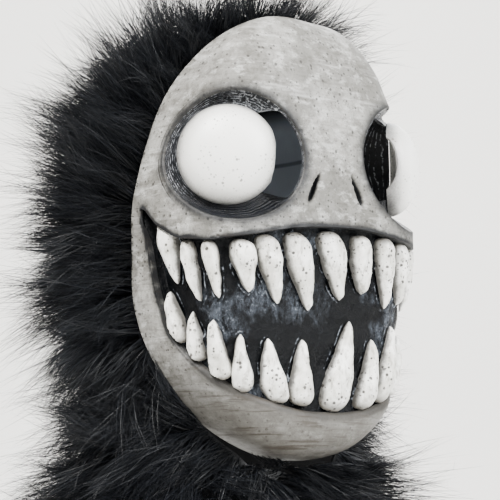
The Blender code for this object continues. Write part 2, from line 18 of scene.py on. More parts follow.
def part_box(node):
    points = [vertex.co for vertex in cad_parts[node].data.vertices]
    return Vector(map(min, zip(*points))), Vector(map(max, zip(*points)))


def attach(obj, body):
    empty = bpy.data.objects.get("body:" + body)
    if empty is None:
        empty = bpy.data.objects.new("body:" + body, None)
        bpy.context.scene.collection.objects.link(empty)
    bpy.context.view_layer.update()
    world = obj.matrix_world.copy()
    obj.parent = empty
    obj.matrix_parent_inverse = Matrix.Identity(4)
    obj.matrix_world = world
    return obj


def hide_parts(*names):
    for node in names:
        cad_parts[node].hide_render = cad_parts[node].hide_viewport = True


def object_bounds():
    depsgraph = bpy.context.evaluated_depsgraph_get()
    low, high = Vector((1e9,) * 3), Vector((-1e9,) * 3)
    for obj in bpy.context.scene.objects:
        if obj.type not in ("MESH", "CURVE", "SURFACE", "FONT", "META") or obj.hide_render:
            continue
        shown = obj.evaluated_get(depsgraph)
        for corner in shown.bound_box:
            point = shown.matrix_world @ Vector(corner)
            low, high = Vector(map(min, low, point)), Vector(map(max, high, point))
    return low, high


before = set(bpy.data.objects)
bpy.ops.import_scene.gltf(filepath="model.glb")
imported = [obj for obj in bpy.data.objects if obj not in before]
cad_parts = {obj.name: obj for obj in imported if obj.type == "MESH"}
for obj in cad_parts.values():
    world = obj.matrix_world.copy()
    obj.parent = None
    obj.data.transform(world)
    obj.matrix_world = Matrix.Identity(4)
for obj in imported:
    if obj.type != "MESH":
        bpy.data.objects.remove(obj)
cad_low, cad_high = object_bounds()
print("CAD box", [round(v, 3) for v in (*cad_low, *cad_high)])

# %% [markdown]
# ## The sizes of the face
#
# One rule gives every point of the face from a turn round it and a height on it, so that lips, teeth and
# eyes can all be placed by the same two numbers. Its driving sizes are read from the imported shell. The
# other sizes are real ones in metres, as measured on the object.

# %% Driving sizes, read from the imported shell
shell_low, shell_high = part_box("face_shell")
FACE_TALL = shell_high.z - shell_low.z
CROWN_HEIGHT = 0.4975 * FACE_TALL
CHIN_DROP = 0.5025 * FACE_TALL
FACE_LEVEL = shell_high.z - CROWN_HEIGHT
CHEEK_BULGE = 0.0024
FACE_HALF_WIDTH = (shell_high.x - shell_low.x) / 2 - CHEEK_BULGE / 4
SIDE_WALL_DEPTH = 0.428 * -shell_low.y
FRONT_BULGE = 0.572 * -shell_low.y
WIDEST_HEIGHT = -0.0275
UPPER_BLUNTNESS, LOWER_BLUNTNESS = 0.331, 0.444
CHEEK_HEIGHT, CHEEK_SPREAD = 0.014, 0.024
CROWN_WALL_DEPTH, CHIN_WALL_DEPTH = 0.0538, 0.0441
CROWN_SETBACK, CHIN_SETBACK = 0.0500, 0.0420
CROWN_ROUNDNESS, CHIN_ROUNDNESS = 0.80, 0.415
SECTION_SQUARENESS = 3.35
FACE_TILT = 0.042
SHELL_WALL = 0.003
WALL_TURN, FRONT_TURN = 30.0, 90.0
RIM_TURN = FRONT_TURN + WALL_TURN
print(f"face {FACE_TALL * 1000:.0f} mm tall, its middle at {FACE_LEVEL * 1000:.0f} mm")

# %% Lips, by turn: upper as a share of CROWN_HEIGHT, lower of CHIN_DROP, and the lower lip's ledge
LIP_SLOPE = 0.0055
LIP_LINE = (  # turn, upper, lower, slope
    (0.0, 0.019, -0.800, 1.00),
    (12.0, 0.016, -0.797, 1.00),
    (24.0, 0.001, -0.786, 1.00),
    (36.0, -0.023, -0.762, 1.00),
    (48.0, -0.040, -0.733, 0.95),
    (58.0, -0.049, -0.697, 0.90),
    (68.0, -0.038, -0.652, 0.80),
    (78.0, -0.032, -0.598, 0.70),
    (88.0, -0.014, -0.540, 0.60),
    (94.5, 0.012, -0.480, 0.50),
    (98.0, 0.028, -0.410, 0.40),
    (101.0, 0.044, -0.290, 0.30),
    (104.0, 0.066, -0.180, 0.20),
    (107.0, 0.089, -0.070, 0.10),
    (110.0, 0.112, 0.030, 0.05),
    (114.0, 0.134, 0.125, 0.00),
)


# %% Small rules for easing and for reading a table
def smooth(share):
    """An S-shaped step from 0 to 1."""
    share = min(1.0, max(0.0, share))
    return share * share * (3.0 - 2.0 * share)


def read_table(rows, column, place):
    """A column of a table at a place along its first column, eased between rows with a cubic."""
    if place <= rows[0][0]:
        return rows[0][column]
    if place >= rows[-1][0]:
        return rows[-1][column]
    k = max(i for i in range(len(rows) - 1) if rows[i][0] <= place)
    before, low, high, after = rows[max(k - 1, 0)], rows[k], rows[k + 1], rows[min(k + 2, len(rows) - 1)]
    span = high[0] - low[0]
    s = (place - low[0]) / span
    slope_low = (high[column] - before[column]) / max(high[0] - before[0], 1e-9) * span
    slope_high = (after[column] - low[column]) / max(after[0] - low[0], 1e-9) * span
    return (
        (2 * s**3 - 3 * s**2 + 1) * low[column]
        + (s**3 - 2 * s**2 + s) * slope_low
        + (3 * s**2 - 2 * s**3) * high[column]
        + (s**3 - s**2) * slope_high
    )


# %% The face form
def height_share(z):
    """How far a height lies from the widest level towards the crown (+1) or the chin (-1)."""
    reach = CROWN_HEIGHT - WIDEST_HEIGHT if z > WIDEST_HEIGHT else CHIN_DROP + WIDEST_HEIGHT
    return max(-1.0, min(1.0, (z - WIDEST_HEIGHT) / reach))


def half_width(z):
    s = height_share(z)
    power = UPPER_BLUNTNESS if s > 0 else LOWER_BLUNTNESS
    cheek = math.exp(-(((z - CHEEK_HEIGHT) / CHEEK_SPREAD) ** 2))
    return FACE_HALF_WIDTH * (1.0 - s * s) ** power + CHEEK_BULGE * cheek


def rim_depth(z):
    s = height_share(z)
    return -CROWN_SETBACK * s**4 if s > 0 else -CHIN_SETBACK * s * s


def shoulder_depth(z):
    s = height_share(z)
    end = CROWN_WALL_DEPTH if s > 0 else CHIN_WALL_DEPTH
    return -SIDE_WALL_DEPTH - (end - SIDE_WALL_DEPTH) * s**4


def front_bulge(z):
    s = height_share(z)
    return FRONT_BULGE * (1.0 - s**4) ** (CROWN_ROUNDNESS if s > 0 else CHIN_ROUNDNESS)


def tilted(x, z):
    """A feature's height. From the mouth's corners up they ride a little higher on the wearer's left."""
    return z + FACE_TILT * x * smooth((z + 0.08) / 0.08)


def face_point(turn, z):
    """A point of the face form. A turn of 0 is the middle, 90 the shoulder, 120 the rim."""
    side = 1.0 if turn >= 0 else -1.0
    angle = math.radians(min(abs(turn), FRONT_TURN))
    square = SECTION_SQUARENESS - 0.4 * height_share(z) ** 2
    reach = (abs(math.sin(angle)) ** square + abs(math.cos(angle)) ** square) ** (-1.0 / square)
    y = shoulder_depth(z) - front_bulge(z) * reach * math.cos(angle)
    y += max(0.0, abs(turn) - FRONT_TURN) / WALL_TURN * (rim_depth(z) - shoulder_depth(z))
    return Vector((side * half_width(z) * reach * math.sin(angle), y, z))


def face_normal(turn, z):
    step_turn, step_z = 0.5, 0.0005
    z = max(-CHIN_DROP + 0.004, min(CROWN_HEIGHT - 0.004, z))
    across = face_point(turn + step_turn, z) - face_point(turn - step_turn, z)
    up = face_point(turn, z + step_z) - face_point(turn, z - step_z)
    return across.cross(up).normalized()


def sunk_point(turn, z, sink):
    return face_point(turn, z) - face_normal(turn, z) * sink


def lip_height(turn, upper):
    share = read_table(LIP_LINE, 1 if upper else 2, abs(turn))
    z = share * (CROWN_HEIGHT if upper else CHIN_DROP)
    return tilted(face_point(turn, z).x, z)


# %% [markdown]
# ## Helpers for making a piece
#
# A piece is shaped in the face's own coordinates, then its mesh is moved down to where the hood hangs from
# the head. Each vertex may carry numbers, such as how much dark wash it has, that the paint reads later.

# %% Grids, fields and finished pieces
def grid(columns, rows, place):
    """A sheet of quads, each vertex put by place(u, v), where u and v run from 0 to 1."""
    sheet = bmesh.new()
    bmesh.ops.create_grid(sheet, x_segments=columns, y_segments=rows, size=0.5)
    for vertex in sheet.verts:
        vertex.co = place(vertex.co.x + 0.5, vertex.co.y + 0.5)
    return sheet


def bumps(point, scale, octaves=3, seed=0.0):
    """Soft noise from about -1 to 1, with lumps of about this size in metres."""
    return noise.fractal(point / scale + Vector((seed, seed * 0.7, -seed)), 1.0, 2.0, octaves)


def point_field(mesh, name, values):
    field = mesh.attributes.new(name, "FLOAT", "POINT")
    field.data.foreach_set("value", np.asarray(values, np.float32))


def add_object(name, data):
    made = bpy.data.objects.new(name, data)
    bpy.context.scene.collection.objects.link(made)
    return made


def new_verts(geometry):
    """The vertices among what a bmesh operator made."""
    return [part for part in geometry if isinstance(part, bmesh.types.BMVert)]


def to_mesh(name, builder, paint):
    mesh = bpy.data.meshes.new(name)
    builder.to_mesh(mesh)
    builder.free()
    mesh.shade_smooth()
    mesh.materials.append(paint)
    return mesh


def finish_piece(name, builder, paint, replaced, sharp=60.0, fields=()):
    """Turns a bmesh into a piece that rides on the one body and stands for its CAD nodes."""
    builder.transform(Matrix.Translation((0.0, 0.0, FACE_LEVEL)))
    mesh = to_mesh(name, builder, paint)
    piece = add_object(name, mesh)
    mesh.set_sharp_from_angle(angle=math.radians(sharp))
    for field, rule in fields:
        point_field(mesh, field, [rule(v.co - Vector((0, 0, FACE_LEVEL))) for v in mesh.vertices])
    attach(piece, "root")
    if replaced:
        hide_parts(*replaced)
    print(f"{name}: {len(mesh.polygons)} faces")
    return piece


def face_outwards(sheet, towards):
    """Turns an open sheet so that its faces look along a direction."""
    sheet.normal_update()
    total = sum(face.normal.dot(towards(face.calc_center_median())) for face in sheet.faces)
    if total < 0:
        bmesh.ops.reverse_faces(sheet, faces=sheet.faces)


def give_wall(builder, thickness):
    """Thickens an open sheet inwards and closes its edges."""
    builder.verts.index_update()
    builder.normal_update()
    inwards = {vertex.index: -vertex.normal for vertex in builder.verts}
    number = builder.verts.layers.int.new("number")
    for vertex in builder.verts:
        vertex[number] = vertex.index
    made = bmesh.ops.extrude_face_region(builder, geom=builder.faces[:])["geom"]
    for vertex in new_verts(made):
        vertex.co += inwards[vertex[number]] * thickness
    builder.verts.layers.int.remove(number)
    bmesh.ops.recalc_face_normals(builder, faces=builder.faces)


# %% [markdown]
# ## Shader groups
#
# Old bone paint, stained teeth and speckled eyes share the same few effects: brushed streaks, fine dark specks and
# soft blotches. Streaks and specks are node groups with named inputs, built once and used with their own values;
# blotches come straight from noise.

# %% Nodes by short names
class Nodes:
    """Adds nodes to a tree. A socket takes a value, or the output of another node."""

    def __init__(self, tree, where=None):
        self.tree, self.where = tree, where

    def put(self, socket, value):
        if isinstance(value, bpy.types.NodeSocket):
            self.tree.links.new(value, socket)
        else:
            socket.default_value = value

    def add(self, kind, links=(), **settings):
        made = self.tree.nodes.new(kind)
        for key, value in settings.items():
            setattr(made, key, value)
        for socket, value in links:
            self.put(made.inputs[socket], value)
        return made

    def maths(self, operation, first, second=0.0):
        return self.add("ShaderNodeMath", [(0, first), (1, second)], operation=operation).outputs[0]

    def times(self, first, second):
        return self.maths("MULTIPLY", first, second)

    def plus(self, first, second):
        return self.maths("ADD", first, second)

    def minus(self, first, second):
        return self.maths("SUBTRACT", first, second)

    def mix(self, factor, *colours):
        """From the first colour to the second as the factor goes from 0 to 1."""
        made = self.add("ShaderNodeMix", [(0, factor)], data_type="RGBA")
        for socket, colour in zip((6, 7), colours):
            self.put(made.inputs[socket], (*colour, 1.0) if isinstance(colour, tuple) else colour)
        return made.outputs[2]

    def step(self, value, low, high):
        """0 below low, 1 above high, eased between."""
        links = [("Value", value), ("From Min", low), ("From Max", high)]
        return self.add("ShaderNodeMapRange", links, interpolation_type="SMOOTHSTEP").outputs["Result"]

    def below(self, value, low, high):
        """1 below low, 0 above high."""
        return self.minus(1.0, self.step(value, low, high))

    def noise(self, scale, detail=4.0, rough=0.55, distortion=0.0, where=None):
        links = [("Scale", scale), ("Detail", detail), ("Roughness", rough), ("Distortion", distortion)]
        links.append(("Vector", self.where if where is None else where))
        return self.add("ShaderNodeTexNoise", links).outputs["Fac"]

    def stretched(self, amounts):
        """The coordinates, scaled on each axis, so that a pattern is drawn out along the others."""
        return self.add("ShaderNodeMapping", [("Vector", self.where), ("Scale", amounts)]).outputs[0]


def new_group(name, inputs):
    """A node group that gives a mask, with its nodes, its inputs and the socket for the mask."""
    group = bpy.data.node_groups.new(name, "ShaderNodeTree")
    for label, kind, value in (("Position", "NodeSocketVector", None), *inputs):
        socket = group.interface.new_socket(label, in_out="INPUT", socket_type=kind)
        if value is not None:
            socket.default_value = value
    group.interface.new_socket("Mask", in_out="OUTPUT", socket_type="NodeSocketFloat")
    start, end = group.nodes.new("NodeGroupInput"), group.nodes.new("NodeGroupOutput")
    return Nodes(group, start.outputs["Position"]), start.outputs, end.inputs["Mask"]

# %% Specks: small dark spots and pits of uneven size
def build_specks():
    inputs = [("Scale", "NodeSocketFloat", 400.0), ("Amount", "NodeSocketFloat", 0.5)]
    nodes, given, mask = new_group("paint_specks", inputs)
    wobble = nodes.noise(nodes.times(given["Scale"], 0.5), 2.0)
    links = [("Vector", nodes.where), ("Scale", given["Scale"]), ("Randomness", 1.0)]
    spots = nodes.add("ShaderNodeTexVoronoi", links)
    chosen = nodes.add("ShaderNodeSeparateColor", [(0, spots.outputs["Color"])]).outputs[0]
    size = nodes.times(nodes.minus(given["Amount"], chosen), 0.9)
    size = nodes.plus(size, nodes.times(nodes.minus(wobble, 0.5), 0.5))
    inside = nodes.minus(size, spots.outputs["Distance"])
    nodes.put(mask, nodes.step(inside, 0.0, 0.12))
    return nodes.tree

# %% Streaks: brushed marks drawn out along one axis
def build_streaks():
    inputs = [
        ("Stretch", "NodeSocketVector", (60.0, 60.0, 500.0)),
        ("Low", "NodeSocketFloat", 0.45),
        ("High", "NodeSocketFloat", 0.65),
    ]
    nodes, given, mask = new_group("brushed_streaks", inputs)
    links = [(0, nodes.where), (1, given["Stretch"])]
    where = nodes.add("ShaderNodeVectorMath", links, operation="MULTIPLY").outputs[0]
    marks = nodes.noise(1.0, 5.0, 0.62, 0.4, where)
    nodes.put(mask, nodes.step(marks, given["Low"], given["High"]))
    return nodes.tree


SPECKS = build_specks()
STREAKS = build_streaks()


# %% A paint is a material, built up in coats
class Paint(Nodes):
    """Each coat lays a colour over the last one through a mask."""

    def __init__(self, name, roughness=0.5, specular=0.5):
        self.material = bpy.data.materials.new(name)
        self.material.use_nodes = True
        super().__init__(self.material.node_tree)
        self.shader = self.tree.nodes["Principled BSDF"]
        self.put(self.shader.inputs["Roughness"], roughness)
        self.put(self.shader.inputs["Specular IOR Level"], specular)
        self.where = self.tree.nodes.new("ShaderNodeTexCoord").outputs["Object"]
        self.colour = None

    def coat(self, mask, strength, colour):
        self.colour = self.mix(self.times(mask, strength), self.colour, colour)

    def field(self, name):
        """Numbers that the mesh carries for each vertex."""
        return self.add("ShaderNodeAttribute", attribute_name=name).outputs["Fac"]

    def group(self, tree, **inputs):
        made = self.add("ShaderNodeGroup", node_tree=tree)
        for name, value in (("Position", self.where), *inputs.items()):
            self.put(made.inputs[name], value)
        return made.outputs["Mask"]

    def specks(self, scale, amount):
        return self.group(SPECKS, Scale=scale, Amount=amount)

    def streaks(self, stretch, low, high):
        return self.group(STREAKS, Stretch=stretch, Low=low, High=high)

    def vary_roughness(self, value, low, high):
        made = self.add("ShaderNodeMapRange", [("Value", value), ("To Min", low), ("To Max", high)])
        self.put(self.shader.inputs["Roughness"], made.outputs["Result"])

    def finish(self, height=None, strength=0.0, distance=0.0):
        """Joins the colour to the shader, with relief from a height if there is one."""
        self.put(self.shader.inputs["Base Color"], self.colour)
        if height is not None:
            made = self.add("ShaderNodeBump", [("Height", height), ("Strength", strength), ("Distance", distance)])
            self.put(self.shader.inputs["Normal"], made.outputs[0])
        return self.material

# %% [markdown]
# ## The bone paint
#
# The face is cast in one go and painted by hand: a pale bone colour, dry-brushed across with lighter and darker
# strokes, spotted with dark flecks, and airbrushed nearly black round the eyes and along the lips. Along the lips that
# dark is also painted shade, under the upper lip and on the ledge beside the teeth. The mesh carries how far each
# point lies from those edges, and the paint turns that into smoky shading.

# %% Bone paint: dark washes by distance in millimetres from an edge, with reach and strength
GROOVE_DISTANCE = 3.6
WASHES_AND_LIP_SHADE = (
    ("eye_distance", -1.0, 9.0, 0.80),
    ("eye_distance", -0.5, 3.2, 0.92),
    # The lip washes are airbrushed paint and also painted shade, under the upper lip and on the ledge beside the
    # teeth.
    ("lip_distance", -1.0, 8.0, 0.62),
    ("lip_distance", 1.1, 3.3, 0.98),
)


def build_bone_paint():
    paint = Paint("bone_paint", 0.46, 0.24)
    blotch = paint.step(paint.noise(20.0, 6.0, 0.62), 0.34, 0.66)
    paint.colour = paint.mix(blotch, (0.150, 0.146, 0.132), (0.325, 0.320, 0.300))
    mottle = paint.step(paint.noise(150.0, 9.0, 0.78), 0.46, 0.62)
    paint.coat(mottle, 0.60, (0.075, 0.070, 0.060))
    pale = paint.step(paint.noise(88.0, 8.0, 0.74, where=paint.stretched((1.0, 1.0, 1.7))), 0.50, 0.64)
    paint.coat(pale, 0.55, (0.520, 0.520, 0.500))
    drawn = paint.streaks((26.0, 26.0, 300.0), 0.54, 0.74)
    paint.coat(drawn, 0.50, (0.080, 0.074, 0.064))
    paint.coat(paint.streaks((18.0, 18.0, 180.0), 0.54, 0.72), 0.45, (0.560, 0.560, 0.545))
    stain = paint.step(paint.noise(34.0, 7.0, 0.76, 0.8), 0.61, 0.74)
    paint.coat(stain, 0.65, (0.085, 0.064, 0.040))
    dust = paint.step(paint.noise(620.0, 3.0, 0.7), 0.56, 0.70)
    paint.coat(dust, 0.50, (0.050, 0.046, 0.040))
    paint.coat(paint.specks(380.0, 0.50), 0.80, (0.026, 0.023, 0.020))
    dots = paint.specks(140.0, 0.24)
    paint.coat(dots, 0.72, (0.036, 0.031, 0.026))

    cloudy = paint.minus(paint.times(paint.noise(60.0, 6.0, 0.68), 10.0), 5.0)
    fine = paint.minus(paint.times(paint.noise(420.0, 4.0, 0.7), 3.0), 1.5)
    cloudy = paint.plus(cloudy, fine)
    # Dark washes by distance: airbrushed paint round the eyes; along the lips, partly painted shade.
    for name, near, reach, strength in WASHES_AND_LIP_SHADE:
        distance = paint.plus(paint.field(name), paint.times(cloudy, reach / WASHES_AND_LIP_SHADE[0][2]))
        paint.coat(paint.below(distance, near, reach), strength, (0.0060, 0.0066, 0.0080))
    off_eye = paint.plus(paint.field("eye_distance"), paint.times(cloudy, 0.12))
    groove = paint.below(paint.maths("ABSOLUTE", paint.minus(off_eye, GROOVE_DISTANCE)), 0.10, 0.75)
    groove = paint.times(groove, paint.field("groove"))
    groove = paint.times(groove, paint.step(paint.noise(70.0, 4.0, 0.6), 0.38, 0.60))
    paint.coat(groove, 0.80, (0.022, 0.020, 0.018))

    # Grime and jaw shade: patchy dirt and scraped streaks gather towards the jaw, and the jaw is also painted evenly
    # darker as painted shade.
    grime_and_jaw_shade = paint.field("grime_and_jaw_shade")
    low = paint.step(paint.times(paint.noise(30.0, 6.0, 0.7), grime_and_jaw_shade), 0.18, 0.62)
    paint.coat(low, 0.60, (0.050, 0.046, 0.040))
    # Painted shade: the jaw, turned down from the light, is made evenly darker towards the bottom.
    paint.coat(paint.maths("POWER", grime_and_jaw_shade, 2.0), 0.55, (0.078, 0.072, 0.062))
    scraped = paint.times(paint.streaks((24.0, 24.0, 380.0), 0.52, 0.66), grime_and_jaw_shade)
    paint.coat(scraped, 0.80, (0.042, 0.034, 0.026))
    paint.coat(paint.step(paint.field("pit"), 0.05, 0.50), 1.0, (0.0030, 0.0034, 0.0042))

    paint.vary_roughness(paint.noise(130.0, 4.0), 0.34, 0.62)
    relief = paint.minus(paint.noise(230.0, 6.0, 0.66), paint.times(drawn, 0.5))
    relief = paint.minus(paint.minus(relief, paint.times(dots, 0.9)), paint.times(groove, 2.0))
    return paint.finish(relief, 0.55, 0.0007)


BONE_PAINT = build_bone_paint()

# %% [markdown]
# ## The eyes' places
#
# Each eye sits on the corner of the face and looks outwards. Towards the nose its dome is cut off and the
# dark ring swings wide, which leaves a gap that the wearer looks through.

# %% Eye sizes and rules
EYE_TOE_OUT = 41.0
EYE_SIDE, EYE_DEPTH, EYE_HEIGHT = 0.0705, 0.0630, 0.0460
EYE_RADIUS, EYE_DOME = 0.0310, 0.0205
EYE_TRIM, EYE_TRIM_TURN = 0.0256, 19.0
SOCKET_SHIFT, SOCKET_DROP, SOCKET_HALF_LENGTH, SOCKET_HALF_HEIGHT = 0.0042, 0.0008, 0.0446, 0.0413
SOCKET_DIP, SIGHT_EDGE = 0.0040, 0.0018
SIGHT_OPEN_ANGLE, SIGHT_CLOSE_ANGLE, SIGHT_TOP_EXTRA = 38.0, 50.0, 9.0
SIDES = ((-1, "right"), (1, "left"))


def eye_axes(side):
    toe = math.radians(EYE_TOE_OUT)
    outwards = Vector((side * math.sin(toe), -math.cos(toe), 0.0))
    return outwards, Vector((-side * math.cos(toe), -math.sin(toe), 0.0))


def eye_centre(side):
    return Vector((side * EYE_SIDE, -EYE_DEPTH, tilted(side * EYE_SIDE, EYE_HEIGHT)))


def surface_at_eye(side, inward, z):
    """The turn at which the face, at this height, lies this far towards the nose from the eye's centre."""
    inwards = eye_axes(side)[1]
    low, high = RIM_TURN, -20.0
    for _ in range(26):
        middle = (low + high) / 2
        if (face_point(side * middle, z) - eye_centre(side)).dot(inwards) < inward:
            low = middle
        else:
            high = middle
    return side * (low + high) / 2


def socket_rim(side, angle, grow=0.0, sink=0.0):
    """A point of the socket's outer edge. An angle of 0 is towards the nose."""
    inward = SOCKET_SHIFT + (SOCKET_HALF_LENGTH + grow) * math.cos(angle)
    z = eye_centre(side).z - SOCKET_DROP + (SOCKET_HALF_HEIGHT + grow) * math.sin(angle)
    return sunk_point(surface_at_eye(side, inward, z), z, sink)


def socket_place(side, point):
    """Where a point lies in the socket's outline: 1 on the edge, less inside, with its angle."""
    outwards, inwards = eye_axes(side)
    away = point - eye_centre(side)
    if away.dot(outwards) < -0.045:
        return 9.0, 0.0
    across = (away.dot(inwards) - SOCKET_SHIFT) / SOCKET_HALF_LENGTH
    up = (away.z + SOCKET_DROP) / SOCKET_HALF_HEIGHT
    return math.hypot(across, up), math.atan2(up, across)


# %% [markdown]
# ## The face shell
#
# The cast could be carved from a block with Booleans, but cut edges come out ragged. Here two sheets of
# quads run from the lower lip down to the chin and from the upper lip up to the crown, so that their rows
# follow the grin. The eye holes are opened by taking faces away and drawing the edge onto the outline.

# %% Shell rows
SHELL_COLUMNS = 208
UPPER_ROWS, LOWER_ROWS, LEDGE_ROWS = 84, 46, 6
MOUTH_END, MOUTH_CLOSE = 112.0, 2.0
UNDERSIDE_ROWS, UNDERSIDE_DEPTH, LEDGE_DEPTH = 4, 0.0058, 0.0048
SHELL_SKIN, JOIN_WITHIN = 0.0022, 0.00012
NOSTRIL_SIDE, NOSTRIL_HEIGHT = 0.0185, 0.0265
NOSTRIL_LENGTH, NOSTRIL_WIDTH, NOSTRIL_DEPTH, NOSTRIL_LEAN = 0.0225, 0.0064, 0.0050, 28.0
NOSTRIL_FRONT = -0.05
FOLD_SIDE, FOLD_HEIGHT, FOLD_REACH, FOLD_PITCH, FOLD_DEPTH = 0.046, 0.012, 0.020, 0.0011, 0.00055
lips_at = {}


def mouth_edges(turn):
    """Heights of the lower and the upper lip, which meet at the corners of the mouth."""
    key = round(turn, 4)
    if key not in lips_at:
        low, high = lip_height(turn, False), lip_height(turn, True)
        close = smooth((abs(turn) - MOUTH_END) / MOUTH_CLOSE)
        middle = (low + high) / 2
        lips_at[key] = (low + (middle - low) * close, high + (middle - high) * close)
    return lips_at[key]


def place_upper(u, v):
    turn = (2 * u - 1) * RIM_TURN
    lip = mouth_edges(turn)[1]
    return face_point(turn, lip + (CROWN_HEIGHT - lip) * math.sin(math.pi / 2 * v))


def ledge_slope(turn):
    return LIP_SLOPE * read_table(LIP_LINE, 3, abs(turn))


def place_lower(u, v):
    """From the chin up to the lower lip's outer edge."""
    turn = (2 * u - 1) * RIM_TURN
    edge = mouth_edges(turn)[0] - ledge_slope(turn)
    return face_point(turn, -CHIN_DROP + (edge + CHIN_DROP) * (1 - math.cos(math.pi / 2 * v)))


def place_ledge(u, v):
    """From the lower lip's outer edge in to the gums."""
    turn = (2 * u - 1) * RIM_TURN
    inner = mouth_edges(turn)[0]
    depth = LEDGE_DEPTH * smooth((MOUTH_END - abs(turn)) / 4.0)
    rise = math.sin(math.pi / 2 * v) ** 0.8
    return sunk_point(turn, inner - ledge_slope(turn) * (1 - rise), depth * v**1.4)


def place_underside(u, v):
    """The upper lip's thickness, seen from below."""
    turn = (2 * u - 1) * RIM_TURN
    depth = UNDERSIDE_DEPTH * smooth((MOUTH_END - abs(turn)) / 4.0)
    return sunk_point(turn, mouth_edges(turn)[1] - 0.0005 * math.sin(math.pi * v), depth * (1 - v))


def lay(builder, rows, place):
    made = bmesh.ops.create_grid(builder, x_segments=SHELL_COLUMNS, y_segments=rows, size=0.5)["verts"]
    for vertex in made:
        vertex.co = place(vertex.co.x + 0.5, vertex.co.y + 0.5)


# %% Nostrils and the stretched wrinkles are pressed into the sheet
def nostril_share(point):
    """1 in the middle of a nostril, 0 outside."""
    side = 1 if point.x > 0 else -1
    lean = math.radians(-side * NOSTRIL_LEAN)
    across = point.x - side * NOSTRIL_SIDE
    up = point.z - tilted(side * NOSTRIL_SIDE, NOSTRIL_HEIGHT)
    along = across * math.sin(lean) + up * math.cos(lean)
    beside = across * math.cos(lean) - up * math.sin(lean)
    taper = 0.75 - 0.35 * along / (NOSTRIL_LENGTH / 2)
    far = math.hypot(beside / (NOSTRIL_WIDTH / 2 * max(taper, 0.25)), along / (NOSTRIL_LENGTH / 2))
    return 1.0 - smooth((far - 0.45) / 0.75)


def smile_folds(point):
    """Shallow folds that fan out beside the nose towards the grin."""
    beside = abs(point.x) - FOLD_SIDE
    up = point.z - tilted(point.x, FOLD_HEIGHT)
    here = math.exp(-((beside / FOLD_REACH) ** 2) - (up / FOLD_HEIGHT) ** 2)
    return here * math.sin((up * 0.9 + beside * 0.55) / FOLD_PITCH) * FOLD_DEPTH


def press(builder):
    builder.normal_update()
    for vertex in builder.verts:
        share = nostril_share(vertex.co) if abs(vertex.co.x) < 0.04 and vertex.co.y < NOSTRIL_FRONT else 0.0
        lump = bumps(vertex.co, 0.034, 2) * 0.0006 + bumps(vertex.co, 0.009, 2, 4.0) * 0.00012
        vertex.co -= vertex.normal * (NOSTRIL_DEPTH * share - lump - smile_folds(vertex.co))


# %% Eye holes
def open_eye(builder, side):
    """Takes the faces inside the socket's outline away and rolls the edge in."""
    inside = [f for f in builder.faces if socket_place(side, f.calc_center_median())[0] < 1.0]
    outside = {f for face in inside for e in face.edges for f in e.link_faces} - set(inside)
    border = {e for f in outside for e in f.edges}
    bmesh.ops.delete(builder, geom=inside, context="FACES")
    edges = [e for e in border if e.is_valid and e.is_boundary]
    ring = {v for e in edges for v in e.verts}
    angles = {v: socket_place(side, v.co)[1] for v in ring}
    for vertex in ring:
        vertex.co = socket_rim(side, angles[vertex])
    near = {v for r in ring for e in r.link_edges for v in e.verts} - ring
    near |= {v for r in near for e in r.link_edges for v in e.verts} - ring
    for _ in range(4):
        bmesh.ops.smooth_vert(builder, verts=list(near), factor=0.5, use_axis_x=True, use_axis_y=True, use_axis_z=True)
    for shrink, sink in ((0.0005, 0.0004), (0.0009, 0.0013), (0.0010, 0.0030)):
        made = bmesh.ops.extrude_edge_only(builder, edges=edges)["geom"]
        edges = [part for part in made if isinstance(part, bmesh.types.BMEdge)]
        for vertex in new_verts(made):
            vertex.co = socket_rim(side, socket_place(side, vertex.co)[1], -shrink, sink)


# %% Build the shell
def nearest_rule(points):
    """A rule that gives the distance to the nearest of these points, in millimetres."""
    tree = KDTree(len(points))
    for index, point in enumerate(points):
        tree.insert(point, index)
    tree.balance()
    return lambda point: 1000.0 * tree.find(point)[2]


def groove_share(point):
    """Where the shell shows a thin line outside the ring: on the eye's outer side."""
    side = 1 if point.x > 0 else -1
    angle = math.degrees(socket_place(side, point)[1])
    return smooth((abs(angle + 12.0) - 118.0) / 30.0)


def grime_and_jaw_shade_share(point):
    """Rises towards the jaw: rubbed dirt there, and painted shade for the jaw turned down from the light."""
    jaw = smooth((-point.z - 0.060) / 0.060)
    return min(1.0, 0.25 + 0.75 * jaw)


